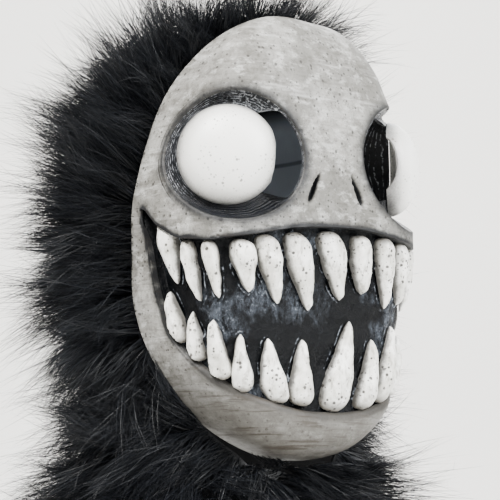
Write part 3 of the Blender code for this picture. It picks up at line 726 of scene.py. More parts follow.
def build_shell():
    shell = bmesh.new()
    lay(shell, UPPER_ROWS, place_upper)
    lay(shell, LOWER_ROWS, place_lower)
    lay(shell, LEDGE_ROWS, place_ledge)
    lay(shell, UNDERSIDE_ROWS, place_underside)
    bmesh.ops.remove_doubles(shell, verts=shell.verts, dist=JOIN_WITHIN)
    bmesh.ops.dissolve_degenerate(shell, edges=shell.edges, dist=0.00005)
    face_outwards(shell, lambda point: Vector((point.x, point.y, 0.3 * point.z)))
    frontal = [e for e in shell.edges if e.verts[0].co.y < NOSTRIL_FRONT]
    fine = [e for e in frontal if nostril_share((e.verts[0].co + e.verts[1].co) / 2) > 0]
    bmesh.ops.subdivide_edges(shell, edges=fine, cuts=2, use_grid_fill=True)
    press(shell)
    for side, _ in SIDES:
        open_eye(shell, side)
    bmesh.ops.recalc_face_normals(shell, faces=shell.faces)
    face_outwards(shell, lambda point: Vector((point.x, point.y, 0.3 * point.z)))
    give_wall(shell, SHELL_SKIN)
    steps = [-MOUTH_END + k * MOUTH_END / 150 for k in range(301)]
    # Points along the upper lip's underside and the lower lip's ledge, where the dark wash is partly painted shade.
    lip_line = [sunk_point(t, mouth_edges(t)[1], sink) for t in steps for sink in (0.0, 0.002, 0.004, 0.006)]
    lip_line += [sunk_point(t, mouth_edges(t)[0] - ledge_slope(t) * k, 0.0) for t in steps for k in (0.0, 0.25)]
    lip_line += [sunk_point(t, mouth_edges(t)[0], sink) for t in steps for sink in (0.0, 0.002, 0.004)]
    rims = [socket_rim(side, math.radians(2 * k)) for side, _ in SIDES for k in range(180)]
    fields = (
        ("eye_distance", nearest_rule(rims)),
        ("lip_distance", nearest_rule(lip_line)),
        ("groove", groove_share),
        ("grime_and_jaw_shade", grime_and_jaw_shade_share),
        ("pit", nostril_share),
    )
    return finish_piece("face", shell, BONE_PAINT, ["face_shell"], 70.0, fields)


face = build_shell()

# %% [markdown]
# ## The dark rings and the white domes
#
# Round each eye runs a ring of wrinkled skin, nearly black, with light marks along its ridges that are partly
# dry-brushed paint and partly painted highlight. The eyes are thin white domes, sprayed darker at their edges, with
# painted shade nearly black at the very rim where they meet the ring. Both are ordinary meshes shaped by one rule.

# %% Ring paint and eye paint
def build_ring_paint():
    paint = Paint("charcoal_paint", 0.30, 0.30)
    broken = paint.noise(330.0, 6.0, 0.76)
    # Light marks on the ridges: partly dry-brushed paint, partly painted highlight on the crests.
    crest_wear_and_highlight = paint.times(paint.step(paint.field("ridge"), 0.78, 0.98), paint.step(broken, 0.46, 0.54))
    crest_wear_and_highlight = paint.times(crest_wear_and_highlight, paint.step(paint.noise(110.0, 4.0, 0.6), 0.38, 0.56))
    paint.colour = paint.mix(paint.step(broken, 0.35, 0.7), (0.0016, 0.0018, 0.0024), (0.0100, 0.0115, 0.0155))
    paint.coat(crest_wear_and_highlight, 0.90, (0.480, 0.500, 0.530))
    shove = paint.add("ShaderNodeTexNoise", [("Vector", paint.where), ("Scale", 260.0), ("Detail", 3.0)])
    links = [(0, shove.outputs["Color"]), ("Scale", 0.006)]
    shift = paint.add("ShaderNodeVectorMath", links, operation="SCALE").outputs[0]
    bent = paint.add("ShaderNodeVectorMath", [(0, paint.where), (1, shift)], operation="ADD").outputs[0]
    net = paint.add("ShaderNodeTexVoronoi", [("Vector", bent), ("Scale", 300.0)], feature="DISTANCE_TO_EDGE")
    netted = paint.times(paint.below(net.outputs["Distance"], 0.02, 0.15), paint.field("netting"))
    netted = paint.times(netted, paint.step(paint.noise(340.0, 4.0, 0.7), 0.46, 0.58))
    paint.coat(netted, 0.85, (0.480, 0.495, 0.510))
    return paint.finish(paint.plus(broken, paint.times(netted, 0.8)), 0.9, 0.0010)


def build_eye_paint():
    paint = Paint("white_eye_paint", 0.36, 0.5)
    soft = paint.noise(38.0, 4.0, 0.55)
    paint.colour = paint.mix(soft, (0.880, 0.878, 0.835), (0.985, 0.983, 0.950))
    edge = paint.plus(paint.field("edge"), paint.times(paint.minus(soft, 0.5), 0.20))
    edge = paint.plus(edge, paint.times(paint.minus(paint.noise(900.0, 2.0, 0.8), 0.5), 0.10))
    paint.coat(paint.step(edge, 0.60, 1.00), 0.56, (0.260, 0.252, 0.232))
    # Painted shade: nearly black at the very rim, where the ring shades the dome's edge.
    paint.coat(paint.step(edge, 0.86, 1.05), 0.90, (0.030, 0.030, 0.033))
    paint.coat(paint.specks(240.0, 0.34), 0.75, (0.090, 0.080, 0.064))
    patchy = paint.step(paint.noise(45.0, 3.0), 0.42, 0.62)
    paint.coat(paint.times(paint.specks(560.0, 0.55), patchy), 0.65, (0.120, 0.110, 0.092))
    return paint.finish(paint.noise(320.0, 3.0), 0.12, 0.0004)


RING_PAINT = build_ring_paint()
EYE_PAINT = build_eye_paint()

# %% Rings
RING_COLUMNS, RING_ROWS = 220, 44
RING_WRINKLES, RIDGE_HEIGHT, RING_SKIN = 7.0, 0.0011, 0.0016


def sight_share(angle):
    """1 where the ring's inner edge swings out round the sight gap, 0 where it follows the eye."""
    turn = math.degrees(math.atan2(math.sin(angle), math.cos(angle)))
    off_nose = turn - SIGHT_TOP_EXTRA if turn > SIGHT_TOP_EXTRA else abs(turn)
    return 1.0 - smooth((off_nose - SIGHT_OPEN_ANGLE) / (SIGHT_CLOSE_ANGLE - SIGHT_OPEN_ANGLE))


def socket_hole(side, angle):
    outwards, inwards = eye_axes(side)
    radius = EYE_RADIUS - 0.0006
    at_eye = inwards * (radius * math.cos(angle)) + Vector((0, 0, radius * math.sin(angle)))
    at_eye += eye_centre(side) - outwards * 0.0004
    return at_eye.lerp(socket_rim(side, angle, grow=-SIGHT_EDGE, sink=0.002), sight_share(angle))


def wrinkle(point, v):
    """Ridges that run round the eye and wander a little, from 0 in a furrow to 1 on a crest."""
    wander = bumps(point, 0.011, 3, 2.0) * 0.42
    return 0.5 + 0.5 * math.sin(2 * math.pi * (RING_WRINKLES * v + wander))


def build_ring(side, word):
    outwards = eye_axes(side)[0]
    rims = [socket_rim(side, 2 * math.pi * k / RING_COLUMNS, -0.0008, 0.0012) for k in range(RING_COLUMNS)]
    holes = [socket_hole(side, 2 * math.pi * k / RING_COLUMNS) for k in range(RING_COLUMNS)]
    ring = bmesh.new()
    bmesh.ops.create_grid(ring, x_segments=RING_COLUMNS, y_segments=RING_ROWS, size=0.5)
    ridge = ring.verts.layers.float.new("ridge")
    net = ring.verts.layers.float.new("netting")
    for vertex in ring.verts:
        column = round((vertex.co.x + 0.5) * RING_COLUMNS) % RING_COLUMNS
        v = vertex.co.y + 0.5
        angle = 2 * math.pi * column / RING_COLUMNS
        closed = 1.0 - sight_share(angle)
        point = rims[column].lerp(holes[column], v)
        point -= outwards * (SOCKET_DIP * math.sin(math.pi * v) * closed)
        crest = wrinkle(point, v)
        below = math.exp(-(((math.degrees(angle) - 275) / 48) ** 2))
        vertex[ridge] = crest * (1.0 - 0.30 * below)
        top = math.exp(-(((math.degrees(angle) - 62) / 34) ** 2))
        vertex[net] = smooth(1.6 * top + 0.5 * bumps(point, 0.012, 2, 7.0) - 0.35)
        amount = RIDGE_HEIGHT * (0.55 + 0.45 * bumps(point, 0.016, 2, 5.0)) * math.sin(math.pi * v) ** 0.5
        vertex.co = point + outwards * (amount * (crest - 0.5) * (0.25 + 0.75 * closed))
    bmesh.ops.remove_doubles(ring, verts=ring.verts, dist=0.00002)
    face_outwards(ring, lambda point: outwards)
    made = bmesh.ops.extrude_face_region(ring, geom=ring.faces[:])["geom"]
    for vertex in new_verts(made):
        vertex.co -= outwards * RING_SKIN
    bmesh.ops.recalc_face_normals(ring, faces=ring.faces)
    return finish_piece(f"ring_{word}", ring, RING_PAINT, [f"eye_socket_{word}"], 50.0)


rings = [build_ring(side, word) for side, word in SIDES]


# %% Domes
DOME_SKIN = 0.0016


def build_dome(side, word):
    """A flattened half ball, cut off on the nose side with a slightly wavy edge."""
    outwards, inwards = eye_axes(side)
    centre = eye_centre(side)
    dome = bmesh.new()
    bmesh.ops.create_uvsphere(dome, u_segments=112, v_segments=64, radius=EYE_RADIUS)
    bmesh.ops.delete(dome, geom=[v for v in dome.verts if v.co.z < -EYE_RADIUS / 100], context="VERTS")
    basis = Matrix((inwards, Vector((0, 0, 1)), outwards)).transposed()
    for vertex in dome.verts:
        flat = Vector((vertex.co.x, vertex.co.y, vertex.co.z * EYE_DOME / EYE_RADIUS))
        vertex.co = basis @ flat + centre
    turn = math.radians(EYE_TRIM_TURN)
    away = Vector((-side * math.cos(turn), -math.sin(turn), 0.0))
    geometry = dome.verts[:] + dome.edges[:] + dome.faces[:]
    trim = centre + inwards * EYE_TRIM
    cut = bmesh.ops.bisect_plane(dome, geom=geometry, plane_co=trim, plane_no=away, clear_outer=True)
    for vertex in new_verts(cut["geom_cut"]):
        vertex.co += away * (0.0007 * bumps(vertex.co, 0.012, 2, 3.0))
    bmesh.ops.recalc_face_normals(dome, faces=dome.faces)
    face_outwards(dome, lambda point: outwards)
    give_wall(dome, DOME_SKIN)

    def edge(point):
        flat = point - centre
        radius = math.hypot(flat.dot(inwards), flat.z) / EYE_RADIUS
        gap = 1.0 + (flat - inwards * EYE_TRIM).dot(away) / 0.030
        return max(radius, gap - 0.02)

    fields = (("edge", edge),)
    return finish_piece(f"eye_{word}", dome, EYE_PAINT, [f"eye_dome_{word}"], 50.0, fields)


domes = [build_dome(side, word) for side, word in SIDES]

# %% [markdown]
# ## The gums
#
# Behind the lips lies a black tray, lumpy and wet-looking, that rises round the root of each tooth. One
# sheet of quads is pushed in and out by soft noise and by the distance to the nearest root. It also carries
# the distance to the nearest tooth's outline, where the paint draws broken glints.

# %% Tooth tables: turn, heights of root and tip (shares of CHIN_DROP), width, lean, and taper (low is blunt)
GUM_SINK, GUM_OVERLAP, GUM_REACH = 0.0095, 0.0055, 116.5
GUM_RAMP, GUM_END_RISE = 0.0105, 0.0012
TOOTH_WIDTH, TOOTH_PROUD, TOOTH_SEAT = 0.0235, 0.0010, 0.0010
FINE_GAP = 0.0006
UPPER_TEETH = (  # turn, root, tip, width, lean, taper
    (-98.5, 0.052, -0.250, 0.74, 6.0, 0.85),
    (-78.0, -0.038, -0.338, 0.42, 8.5, 0.62),
    (-60.0, -0.046, -0.325, 0.54, 6.5, 0.55),
    (-41.8, -0.045, -0.292, 0.86, 4.4, 0.78),
    (-31.2, -0.022, -0.335, 0.84, 6.0, 0.80),
    (-18.2, -0.008, -0.354, 0.96, 7.6, 0.80),
    (-1.2, 0.004, -0.298, 0.97, 7.2, 0.72),
    (15.2, -0.006, -0.262, 0.73, 2.6, 0.48),
    (28.5, -0.008, -0.318, 0.72, 2.9, 0.72),
    (40.4, -0.024, -0.292, 0.62, 1.5, 0.66),
    (53.5, -0.034, -0.322, 0.62, -2.0, 0.80),
    (67.0, -0.036, -0.294, 0.60, -4.0, 0.70),
    (81.0, -0.022, -0.328, 0.54, -5.0, 0.80),
    (97.5, 0.040, -0.255, 0.66, -6.0, 0.80),
)
LOWER_TEETH = (  # turn, root, tip, width, lean, taper
    (-91.4, -0.512, -0.280, 0.50, -7.0, 0.62),
    (-78.5, -0.596, -0.380, 0.50, -1.0, 0.80),
    (-63.0, -0.678, -0.420, 0.72, 2.6, 0.58),
    (-50.8, -0.726, -0.477, 0.74, 7.2, 0.86),
    (-32.4, -0.770, -0.487, 0.93, 1.6, 0.92),
    (-18.0, -0.780, -0.482, 0.86, 3.8, 0.92),
    (2.9, -0.800, -0.386, 1.14, 8.8, 0.95),
    (25.6, -0.788, -0.462, 0.76, -1.0, 0.74),
    (38.4, -0.754, -0.393, 0.72, -1.1, 0.80),
    (51.0, -0.722, -0.470, 0.70, -3.0, 0.80),
    (64.0, -0.670, -0.425, 0.64, -2.0, 0.85),
    (78.5, -0.595, -0.370, 0.50, 1.0, 0.70),
    (90.6, -0.505, -0.290, 0.48, 6.0, 0.70),
)

ALL_TEETH = (*UPPER_TEETH, *LOWER_TEETH)

# %% Where gums and teeth lie
def gum_edges(turn):
    low, high = mouth_edges(turn)
    return low - GUM_OVERLAP, high + GUM_OVERLAP


def gum_depth(turn, z):
    """How far the tray's front lies behind the face form: deep in the middle, close to the shell at its edge."""
    low, high = gum_edges(turn)
    edge = max(0.0, min(z - low, high - z, (GUM_REACH - abs(turn)) * GUM_END_RISE))
    return SHELL_WALL + FINE_GAP + (GUM_SINK - SHELL_WALL) * smooth(edge / GUM_RAMP)


def tooth_outline(along, taper):
    """Half width from blunt tip (0) to round root (1), as a share of the tooth's own half width."""
    blunt = min(1.0, along / 0.07) ** 0.5
    return 1.22 * blunt * (0.13 + 0.92 * along**taper) * (1.0 - along**7) ** 0.5


def tooth_place(row, along, across):
    """Turn and height of a place on a tooth, with across from -1 to 1 between its edges."""
    turn, root, tip, width, lean, taper = row
    start = tilted(face_point(turn, root * CHIN_DROP).x, root * CHIN_DROP)
    z = tip * CHIN_DROP + (start - tip * CHIN_DROP) * along
    middle = turn + lean * (1.0 - along)
    per_turn = (face_point(middle + 2.0, z) - face_point(middle - 2.0, z)).length / 4.0
    return middle + across * TOOTH_WIDTH / 2 * width * tooth_outline(along, taper) / per_turn, z


# %% Gum paint and tooth paint
GLINT_DISTANCE = 1.7


def build_gum_paint():
    paint = Paint("black_gum_paint", 0.20, 0.09)
    paint.colour = paint.mix(paint.noise(60.0, 4.0, 0.6), (0.0005, 0.0006, 0.0008), (0.0020, 0.0025, 0.0034))
    # Painted sheen: blue-grey patches with a brushed grain, and small painted glints in them, stand for the wet gloss
    # catching the light.
    patch = paint.step(paint.noise(26.0, 4.0, 0.55), 0.50, 0.66)
    brushed = paint.noise(170.0, 9.0, 0.82, where=paint.stretched((1.0, 1.0, 0.55)))
    sheen_patches = paint.times(paint.step(brushed, 0.42, 0.66), patch)
    paint.coat(sheen_patches, 0.62, (0.105, 0.122, 0.150))
    paint.coat(paint.times(paint.step(paint.noise(520.0, 5.0, 0.8), 0.54, 0.64), sheen_patches), 0.55, (0.380, 0.420, 0.480))
    beside = paint.maths("ABSOLUTE", paint.minus(paint.field("tooth_distance"), GLINT_DISTANCE))
    glint = paint.times(paint.below(beside, 0.10, 0.50), paint.step(paint.noise(150.0, 5.0, 0.75), 0.48, 0.64))
    paint.coat(glint, 0.75, (0.270, 0.295, 0.335))
    paint.vary_roughness(paint.noise(90.0, 3.0), 0.12, 0.38)
    return paint.finish(paint.noise(240.0, 6.0, 0.70), 1.0, 0.0014)


def build_tooth_paint():
    paint = Paint("ivory_paint", 0.33, 0.5)
    along = paint.field("along")
    soft = paint.step(paint.noise(70.0, 5.0, 0.62), 0.34, 0.62)
    paint.colour = paint.mix(soft, (0.640, 0.630, 0.575), (0.950, 0.946, 0.905))
    smear = paint.step(paint.noise(105.0, 6.0, 0.7, where=paint.stretched((3.2, 3.2, 1.0))), 0.49, 0.68)
    paint.coat(smear, 0.72, (0.215, 0.200, 0.168))
    wobble = paint.minus(paint.noise(210.0, 5.0, 0.7), 0.5)
    # Painted shade: a thin near-black line along the front's edges and root end, where the tooth meets the gum.
    rim = paint.plus(paint.field("inside"), paint.times(wobble, 0.26))
    paint.coat(paint.below(rim, 0.02, 0.22), 0.90, (0.040, 0.037, 0.034))
    root = paint.step(paint.plus(along, paint.times(wobble, 0.9)), 0.72, 1.08)
    paint.coat(root, 0.62, (0.140, 0.124, 0.100))
    patchy = paint.step(paint.plus(paint.noise(120.0, 3.0), paint.times(along, 0.14)), 0.48, 0.62)
    dots = paint.times(paint.specks(460.0, 0.62), patchy)
    paint.coat(dots, 0.92, (0.030, 0.026, 0.022))
    paint.coat(paint.specks(330.0, 0.22), 0.85, (0.045, 0.040, 0.034))
    relief = paint.minus(paint.noise(300.0, 5.0, 0.6), paint.times(dots, 1.2))
    return paint.finish(relief, 0.6, 0.0006)


GUM_PAINT = build_gum_paint()
TOOTH_PAINT = build_tooth_paint()

# %% Gums
GUM_COLUMNS, GUM_ROWS, GUM_SKIN = 230, 58, 0.0018
COLLAR_HEIGHT, COLLAR_REACH = 2.4, 3.4


def root_points():
    """Points along the rounded root end of each tooth, at the depth of the gum."""
    found = []
    for row in ALL_TEETH:
        for k in range(9):
            along = 0.62 + 0.375 * (1 - abs(k - 4) / 4)
            turn, z = tooth_place(row, along, -1 if k < 4 else 1)
            found.append(sunk_point(turn, z, gum_depth(turn, z)))
    return found


def build_gums():
    near_root = nearest_rule(root_points())

    outlines = [
        sunk_point(turn, z, gum_depth(turn, z))
        for row in ALL_TEETH
        for k in range(31)
        for turn, z in (tooth_place(row, k / 30, side) for side, _ in SIDES)
    ]

    def place(u, v):
        turn = (2 * u - 1) * GUM_REACH
        low, high = gum_edges(turn)
        z = low + (high - low) * v
        depth = gum_depth(turn, z)
        flat = sunk_point(turn, z, depth)
        free = smooth(min(v, 1 - v) / 0.06) * smooth((GUM_REACH - abs(turn)) / 6.0)
        collar = COLLAR_HEIGHT * math.exp(-((near_root(flat) / COLLAR_REACH) ** 2))
        lumps = 0.9 * bumps(flat, 0.013, 3) + 0.30 * bumps(flat, 0.0042, 2, 9.0)
        return sunk_point(turn, z, depth - 0.001 * free * (collar + lumps))

    sheet = grid(GUM_COLUMNS, GUM_ROWS, place)
    face_outwards(sheet, lambda point: Vector((point.x, point.y, 0)))
    give_wall(sheet, GUM_SKIN)
    fields = (("tooth_distance", nearest_rule(outlines)),)
    return finish_piece("gums", sheet, GUM_PAINT, ["mouth_gums"], 60.0, fields)


gums = build_gums()

# %% [markdown]
# ## The teeth
#
# Every tooth starts as a sphere. Its height picks a place from tip to root, its outline gives the half width
# there, and its front swells out towards the viewer. Noise with its own seed makes no two of them alike.

# %% Teeth
def build_tooth(name, node_name, row, seed):
    half_most = TOOTH_WIDTH / 2 * row[3]
    tooth = bmesh.new()
    bmesh.ops.create_uvsphere(tooth, u_segments=36, v_segments=32, radius=1.0)
    along_layer = tooth.verts.layers.float.new("along")
    inside_layer = tooth.verts.layers.float.new("inside")
    for vertex in tooth.verts:
        along = 0.5 + math.asin(max(-1.0, min(1.0, vertex.co.z))) / math.pi
        along = 0.5 * along + 0.25 * (1.0 + vertex.co.z)
        across = Vector((vertex.co.x, vertex.co.y))
        if across.length > 1e-6:
            across.normalize()
        front = max(0.0, -across.y)
        half = half_most * tooth_outline(along, row[5])
        lift = front * min(1.0, half / half_most) ** 0.8
        turn, z = tooth_place(row, along, across.x)
        seat = gum_depth(turn, z) - TOOTH_SEAT
        low, high = mouth_edges(turn)
        behind_lip = smooth((max(z - high, low - z) + 0.0022) / 0.0016) * 0.0034
        point = sunk_point(turn, z, max(seat - lift * (seat + TOOTH_PROUD), behind_lip))
        rough = 0.0011 * bumps(point, 0.009, 2, seed) + 0.00028 * bumps(point, 0.0026, 2, seed + 5)
        ripple = 0.00022 * math.sin(point.z / 0.0021 + 3 * bumps(point, 0.010, 2, seed + 9))
        vertex.co = point + face_normal(turn, z) * (front * (rough + ripple))
        edge_wave = 0.0011 * bumps(Vector((seed, point.z, 0.02 * across.x)), 0.012, 3, seed)
        sideways = face_point(turn + 1.0, z) - face_point(turn - 1.0, z)
        vertex.co += sideways.normalized() * (edge_wave * abs(across.x) * min(1.0, 4.0 * along))
        vertex[along_layer] = along
        # How far in from the front's edges and root end; the paint lays painted shade where this is small.
        vertex[inside_layer] = min(1.0 - abs(across.x), 1.6 * (1.0 - along)) if front > 0 else 0.0
    if tooth.calc_volume(signed=True) < 0:
        bmesh.ops.reverse_faces(tooth, faces=tooth.faces)
    return finish_piece(name, tooth, TOOTH_PAINT, [node_name], 70.0)


teeth = []
for word, rows in (("upper", UPPER_TEETH), ("lower", LOWER_TEETH)):
    for count, row in enumerate(rows, 1):
        teeth.append(build_tooth(f"{word}_{count:02d}", f"tooth_{word}_{count:02d}", row, 7.3 * len(teeth) + 1.0))

# %% [markdown]
# ## The hood
#
# The hood is sewn cloth. It shows only inside, and as a slate-coloured strip behind the gaps beside the eyes; above
# and below that strip the cloth is painted nearly black, as painted shade inside the hood. One rule gives its sections
# from hem to crown, and the fur later stands on the same rule.

# %% Hood sections: height, half width, back and front, as shares of the head's and the neck's sizes
HEM_DROP, HEAD_BACK, NECK_FRONT = 0.215, 0.128, 0.050
HOOD_TUCK, FUR_SETBACK = 0.009, 0.004
HOOD_CHIN_ROOM, HOOD_CHIN_DROP, HOOD_SEAM = 0.026, 0.003, 0.066
CLOTH_SKIN, PILE_SKIN = 0.0014, 0.0010
HOOD_SECTIONS = (  # height, half width, back, front
    (-1.00, 1.06, 0.86, 1.04),
    (-0.82, 0.98, 0.77, 1.00),
    (-0.68, 0.93, 0.74, 0.96),
    (-0.52, 0.93, 0.77, 0.94),
    (-0.34, 0.95, 0.85, 1.00),
    (-0.15, 0.955, 0.93, 1.00),
    (0.15, 0.955, 0.99, 1.00),
    (0.40, 0.92, 1.00, 1.00),
    (0.62, 0.80, 0.96, 0.94),
    (0.80, 0.62, 0.86, 0.86),
    (0.90, 0.46, 0.74, 0.76),
    (0.955, 0.26, 0.54, 0.50),
    (0.965, 0.00, 0.34, 0.20),
)


def hood_section(share):
    """A section's height, half width, middle and half depth."""
    z = share * (CROWN_HEIGHT if share > 0 else HEM_DROP)
    width = read_table(HOOD_SECTIONS, 1, share) * FACE_HALF_WIDTH
    if z > -CHIN_DROP + HOOD_CHIN_ROOM:
        width = min(width, half_width(z) - SHELL_WALL - FINE_GAP)
    back = read_table(HOOD_SECTIONS, 2, share) * HEAD_BACK
    front = read_table(HOOD_SECTIONS, 3, share) * NECK_FRONT
    return z, width, (back - front) / 2, (back + front) / 2


def hood_edge(share, ahead):
    """The angle round a section at which it reaches this far ahead of the shell's rim. 0 is closed in front."""
    z, _, middle, reach = hood_section(share)
    if z < -CHIN_DROP - HOOD_CHIN_DROP:
        return 0.0
    return math.acos(max(0.0, min(1.0, (middle - rim_depth(z) + ahead) / reach)))


def hood_point(share, round_share, ahead):
    """A point of the hood, from its front edge on one side (0) round the back to the other side (1)."""
    z, width, middle, reach = hood_section(share)
    start = hood_edge(share, ahead)
    angle = start + (2 * math.pi - 2 * start) * round_share
    return Vector((-width * math.sin(angle), middle - reach * math.cos(angle), z))


def hood_share(v):
    """Section heights from hem (0) to crown (1), closer together towards the crown."""
    top = HOOD_SECTIONS[-1][0]
    return -1.0 + v / 0.45 if v < 0.45 else top * math.sin(math.pi / 2 * (v - 0.45) / 0.55)


def hood_sheet(columns, rows, tucked):
    """The cloth (tucked under the shell) or the ground of the fur (ending behind the shell's rim)."""

    def place(u, v):
        share = hood_share(v)
        z = hood_section(share)[0]
        tuck = (HOOD_TUCK + FUR_SETBACK) * smooth((z + CHIN_DROP - HOOD_CHIN_ROOM / 2) / HOOD_CHIN_ROOM) - FUR_SETBACK
        return hood_point(share, u, tuck - FINE_GAP if tucked else -0.0004)

    sheet = grid(columns, rows, place)
    bmesh.ops.remove_doubles(sheet, verts=sheet.verts, dist=0.0003)
    bmesh.ops.recalc_face_normals(sheet, faces=sheet.faces)
    face_outwards(sheet, lambda point: Vector((point.x, point.y - HEAD_BACK / 4, 0)))
    return sheet


def build_cloth_paint():
    paint = Paint("lining_cloth", 0.85, 0.25)
    cloud = paint.noise(40.0, 4.0)
    paint.colour = paint.mix(cloud, (0.230, 0.262, 0.310), (0.400, 0.440, 0.500))
    height = paint.add("ShaderNodeSeparateXYZ", [(0, paint.where)]).outputs["Z"]
    # Painted shade: nearly black below and above the strip that shows through the gaps beside the eyes.
    paint.coat(paint.below(height, FACE_LEVEL - 0.060, FACE_LEVEL - 0.020), 1.0, (0.0040, 0.0042, 0.0050))
    paint.coat(paint.step(height, FACE_LEVEL + 0.086, FACE_LEVEL + 0.104), 1.0, (0.0020, 0.0022, 0.0028))
    off_seam = paint.maths("ABSOLUTE", paint.minus(height, FACE_LEVEL + HOOD_SEAM))
    paint.coat(paint.below(off_seam, 0.0006, 0.0020), 0.6, (0.012, 0.013, 0.016))
    return paint.finish(paint.plus(paint.noise(900.0, 3.0, 0.7), cloud), 0.3, 0.0005)


def build_hood():
    sheet = hood_sheet(100, 74, True)
    sheet.normal_update()
    for vertex in sheet.verts:
        vertex.co -= vertex.normal * (0.0004 * (1 + bumps(vertex.co, 0.030, 3)))
    give_wall(sheet, CLOTH_SKIN)
    return finish_piece("hood", sheet, CLOTH_PAINT, ["hood_lining"], 60.0)


CLOTH_PAINT = build_cloth_paint()
hood = build_hood()

# %% [markdown]
# ## The fur
#
# Real hair curves would not travel to other programs, so each strand is a thin tapered ribbon of a few
# faces. Roots are scattered over the hood, thicker along the rim of the face. Strands grow out of the cloth,
# lean away from the face but forward at the crown, fall a little, and gather into tufts.

# %% Fur sizes and paint
STRANDS = 80000
STRAND_STEPS = 4
PILE_LENGTH, PILE_WIDTH = 0.066, 0.00050
TUFTS = 1500
FUR_SWEEP, FUR_DROOP, FUR_LIFT, FUR_SPREAD, FUR_TURNBACK = 0.10, 0.30, 0.50, 0.22, 0.012
CROWN_LEAN, CROWN_LEAN_FROM = 0.9, 0.105
PILE_SHARE, PILE_SPARE = 0.03, 0.009
TUFT_SPREAD, STRAND_SPREAD, STRAND_BEND, TUFT_PULL, PILE_SAG = 0.27, 0.18, 0.26, 0.82, 0.0050
rng = np.random.default_rng(11)


def build_fur_paint():
    paint = Paint("fur_pile", 0.42, 0.22)
    paint.colour = paint.mix(paint.field("shade"), (0.0007, 0.0008, 0.0010), (0.0105, 0.0122, 0.0160))
    # Painted shade: strands darker at the root, lighter towards the tip.
    paint.coat(paint.field("along"), 0.35, (0.0120, 0.0132, 0.0160))
    return paint.finish()


FUR_PAINT = build_fur_paint()


# %% Scatter roots over the hood
def ramp(values, start, span):
    """0 up to start, 1 from start + span on."""
    return np.clip((values - start) / span, 0.0, 1.0)


def fur_ground():
    """The surface the fur stands on, as arrays of triangles and their outward normals."""
    sheet = hood_sheet(120, 90, False)
    bmesh.ops.triangulate(sheet, faces=sheet.faces)
    sheet.normal_update()
    corners = np.array([[v.co[:] for v in f.verts] for f in sheet.faces])
    normals = np.array([[v.normal[:] for v in f.verts] for f in sheet.faces])
    sheet.free()
    return corners, normals


def scatter(corners, normals, count):
    sides = np.cross(corners[:, 1] - corners[:, 0], corners[:, 2] - corners[:, 0])
    middle = corners.mean(axis=1)
    rim = np.array([rim_depth(min(max(z, -CHIN_DROP), CROWN_HEIGHT)) for z in middle[:, 2]])
    behind = ramp(middle[:, 1], rim, 0.05)
    below = middle[:, 2] < -CHIN_DROP
    weight = np.linalg.norm(sides, axis=1) * np.where(below, 1.3, 2.6 - 1.9 * behind)
    chosen = rng.choice(len(corners), count, p=weight / weight.sum())
    a, b = rng.random((2, count))
    over = a + b > 1
    a[over], b[over] = 1 - a[over], 1 - b[over]
    shares = np.stack([1 - a - b, a, b], axis=1)[:, :, None]
    roots = (corners[chosen] * shares).sum(axis=1)
    ways = (normals[chosen] * shares).sum(axis=1)
    return roots, ways / np.linalg.norm(ways, axis=1, keepdims=True)


def unit(vectors):
    return vectors / np.maximum(np.linalg.norm(vectors, axis=-1, keepdims=True), 1e-9)


def pile_ways(roots, normals):
    """The way the pile lies: out of the hood, never forward over the shell, and falling towards the hem."""
    ways = normals.copy()
    fall = ramp(-roots[:, 2], 0.0, HEM_DROP)
    ways[:, 1] += FUR_SWEEP
    ways[:, 2] -= FUR_DROOP * fall * fall * (3 - 2 * fall)
    rise = ramp(roots[:, 2], -0.02, 0.10)
    rise = rise * rise * (3 - 2 * rise)
    aside = ramp(roots[:, 0], 0.0, 0.055)
    ways[:, 2] += FUR_LIFT * rise * (1 - 0.75 * aside)
    ways[:, 0] += FUR_SPREAD * aside * rise
    turned = (roots[:, 2] > -CHIN_DROP - HOOD_CHIN_DROP) & (roots[:, 1] < FUR_TURNBACK)
    ways[turned, 1] = np.maximum(ways[turned, 1], 0.0)
    crown = ramp(roots[:, 2], CROWN_LEAN_FROM, 0.02) * ramp(-roots[:, 1], -0.01, 0.02)
    ways[:, 1] -= CROWN_LEAN * crown
    return unit(ways)


# %% Grow the strands
def grow(roots, ways):
    """Centre lines of the strands, as an array of strands, points and coordinates."""
    count = len(roots)
    picked = rng.choice(count, TUFTS, replace=False)
    tree = KDTree(TUFTS)
    for index, strand in enumerate(picked):
        tree.insert(Vector(roots[strand]), index)
    tree.balance()
    owner = np.array([tree.find(Vector(root))[1] for root in roots])
    tuft_way = unit(ways[picked] + rng.normal(0.0, TUFT_SPREAD, (TUFTS, 3)))
    tuft_length = PILE_LENGTH * (0.50 + 0.58 * rng.random(TUFTS) ** 1.3)
    length = tuft_length[owner] * (0.42 + 0.62 * rng.random(count) ** 0.85)
    low_side = ramp(roots[:, 0], 0.01, 0.05) * ramp(-roots[:, 2], 0.02, 0.08)
    high_side = ramp(roots[:, 0], 0.015, 0.03) * ramp(roots[:, 2], 0.0, 0.04)
    length *= 1.0 + 0.22 * low_side + 0.22 * high_side
    way = unit(ways + rng.normal(0.0, STRAND_SPREAD, (count, 3)))
    start = roots[picked][owner]
    bend = rng.normal(0.0, STRAND_BEND, (count, 3))
    lines = np.empty((count, STRAND_STEPS + 1, 3))
    for step in range(STRAND_STEPS + 1):
        share = step / STRAND_STEPS
        free = roots + way * (length * share)[:, None]
        tufted = start + tuft_way[owner] * (length * share)[:, None] + (roots - start) * (1 - 0.75 * share)
        pull = TUFT_PULL * share**0.8
        line = free * (1 - pull) + tufted * pull
        line += bend * (length * share * share)[:, None] * 0.45
        line[:, 2] -= PILE_SAG * share * share
        lines[:, step] = line
    return lines, owner


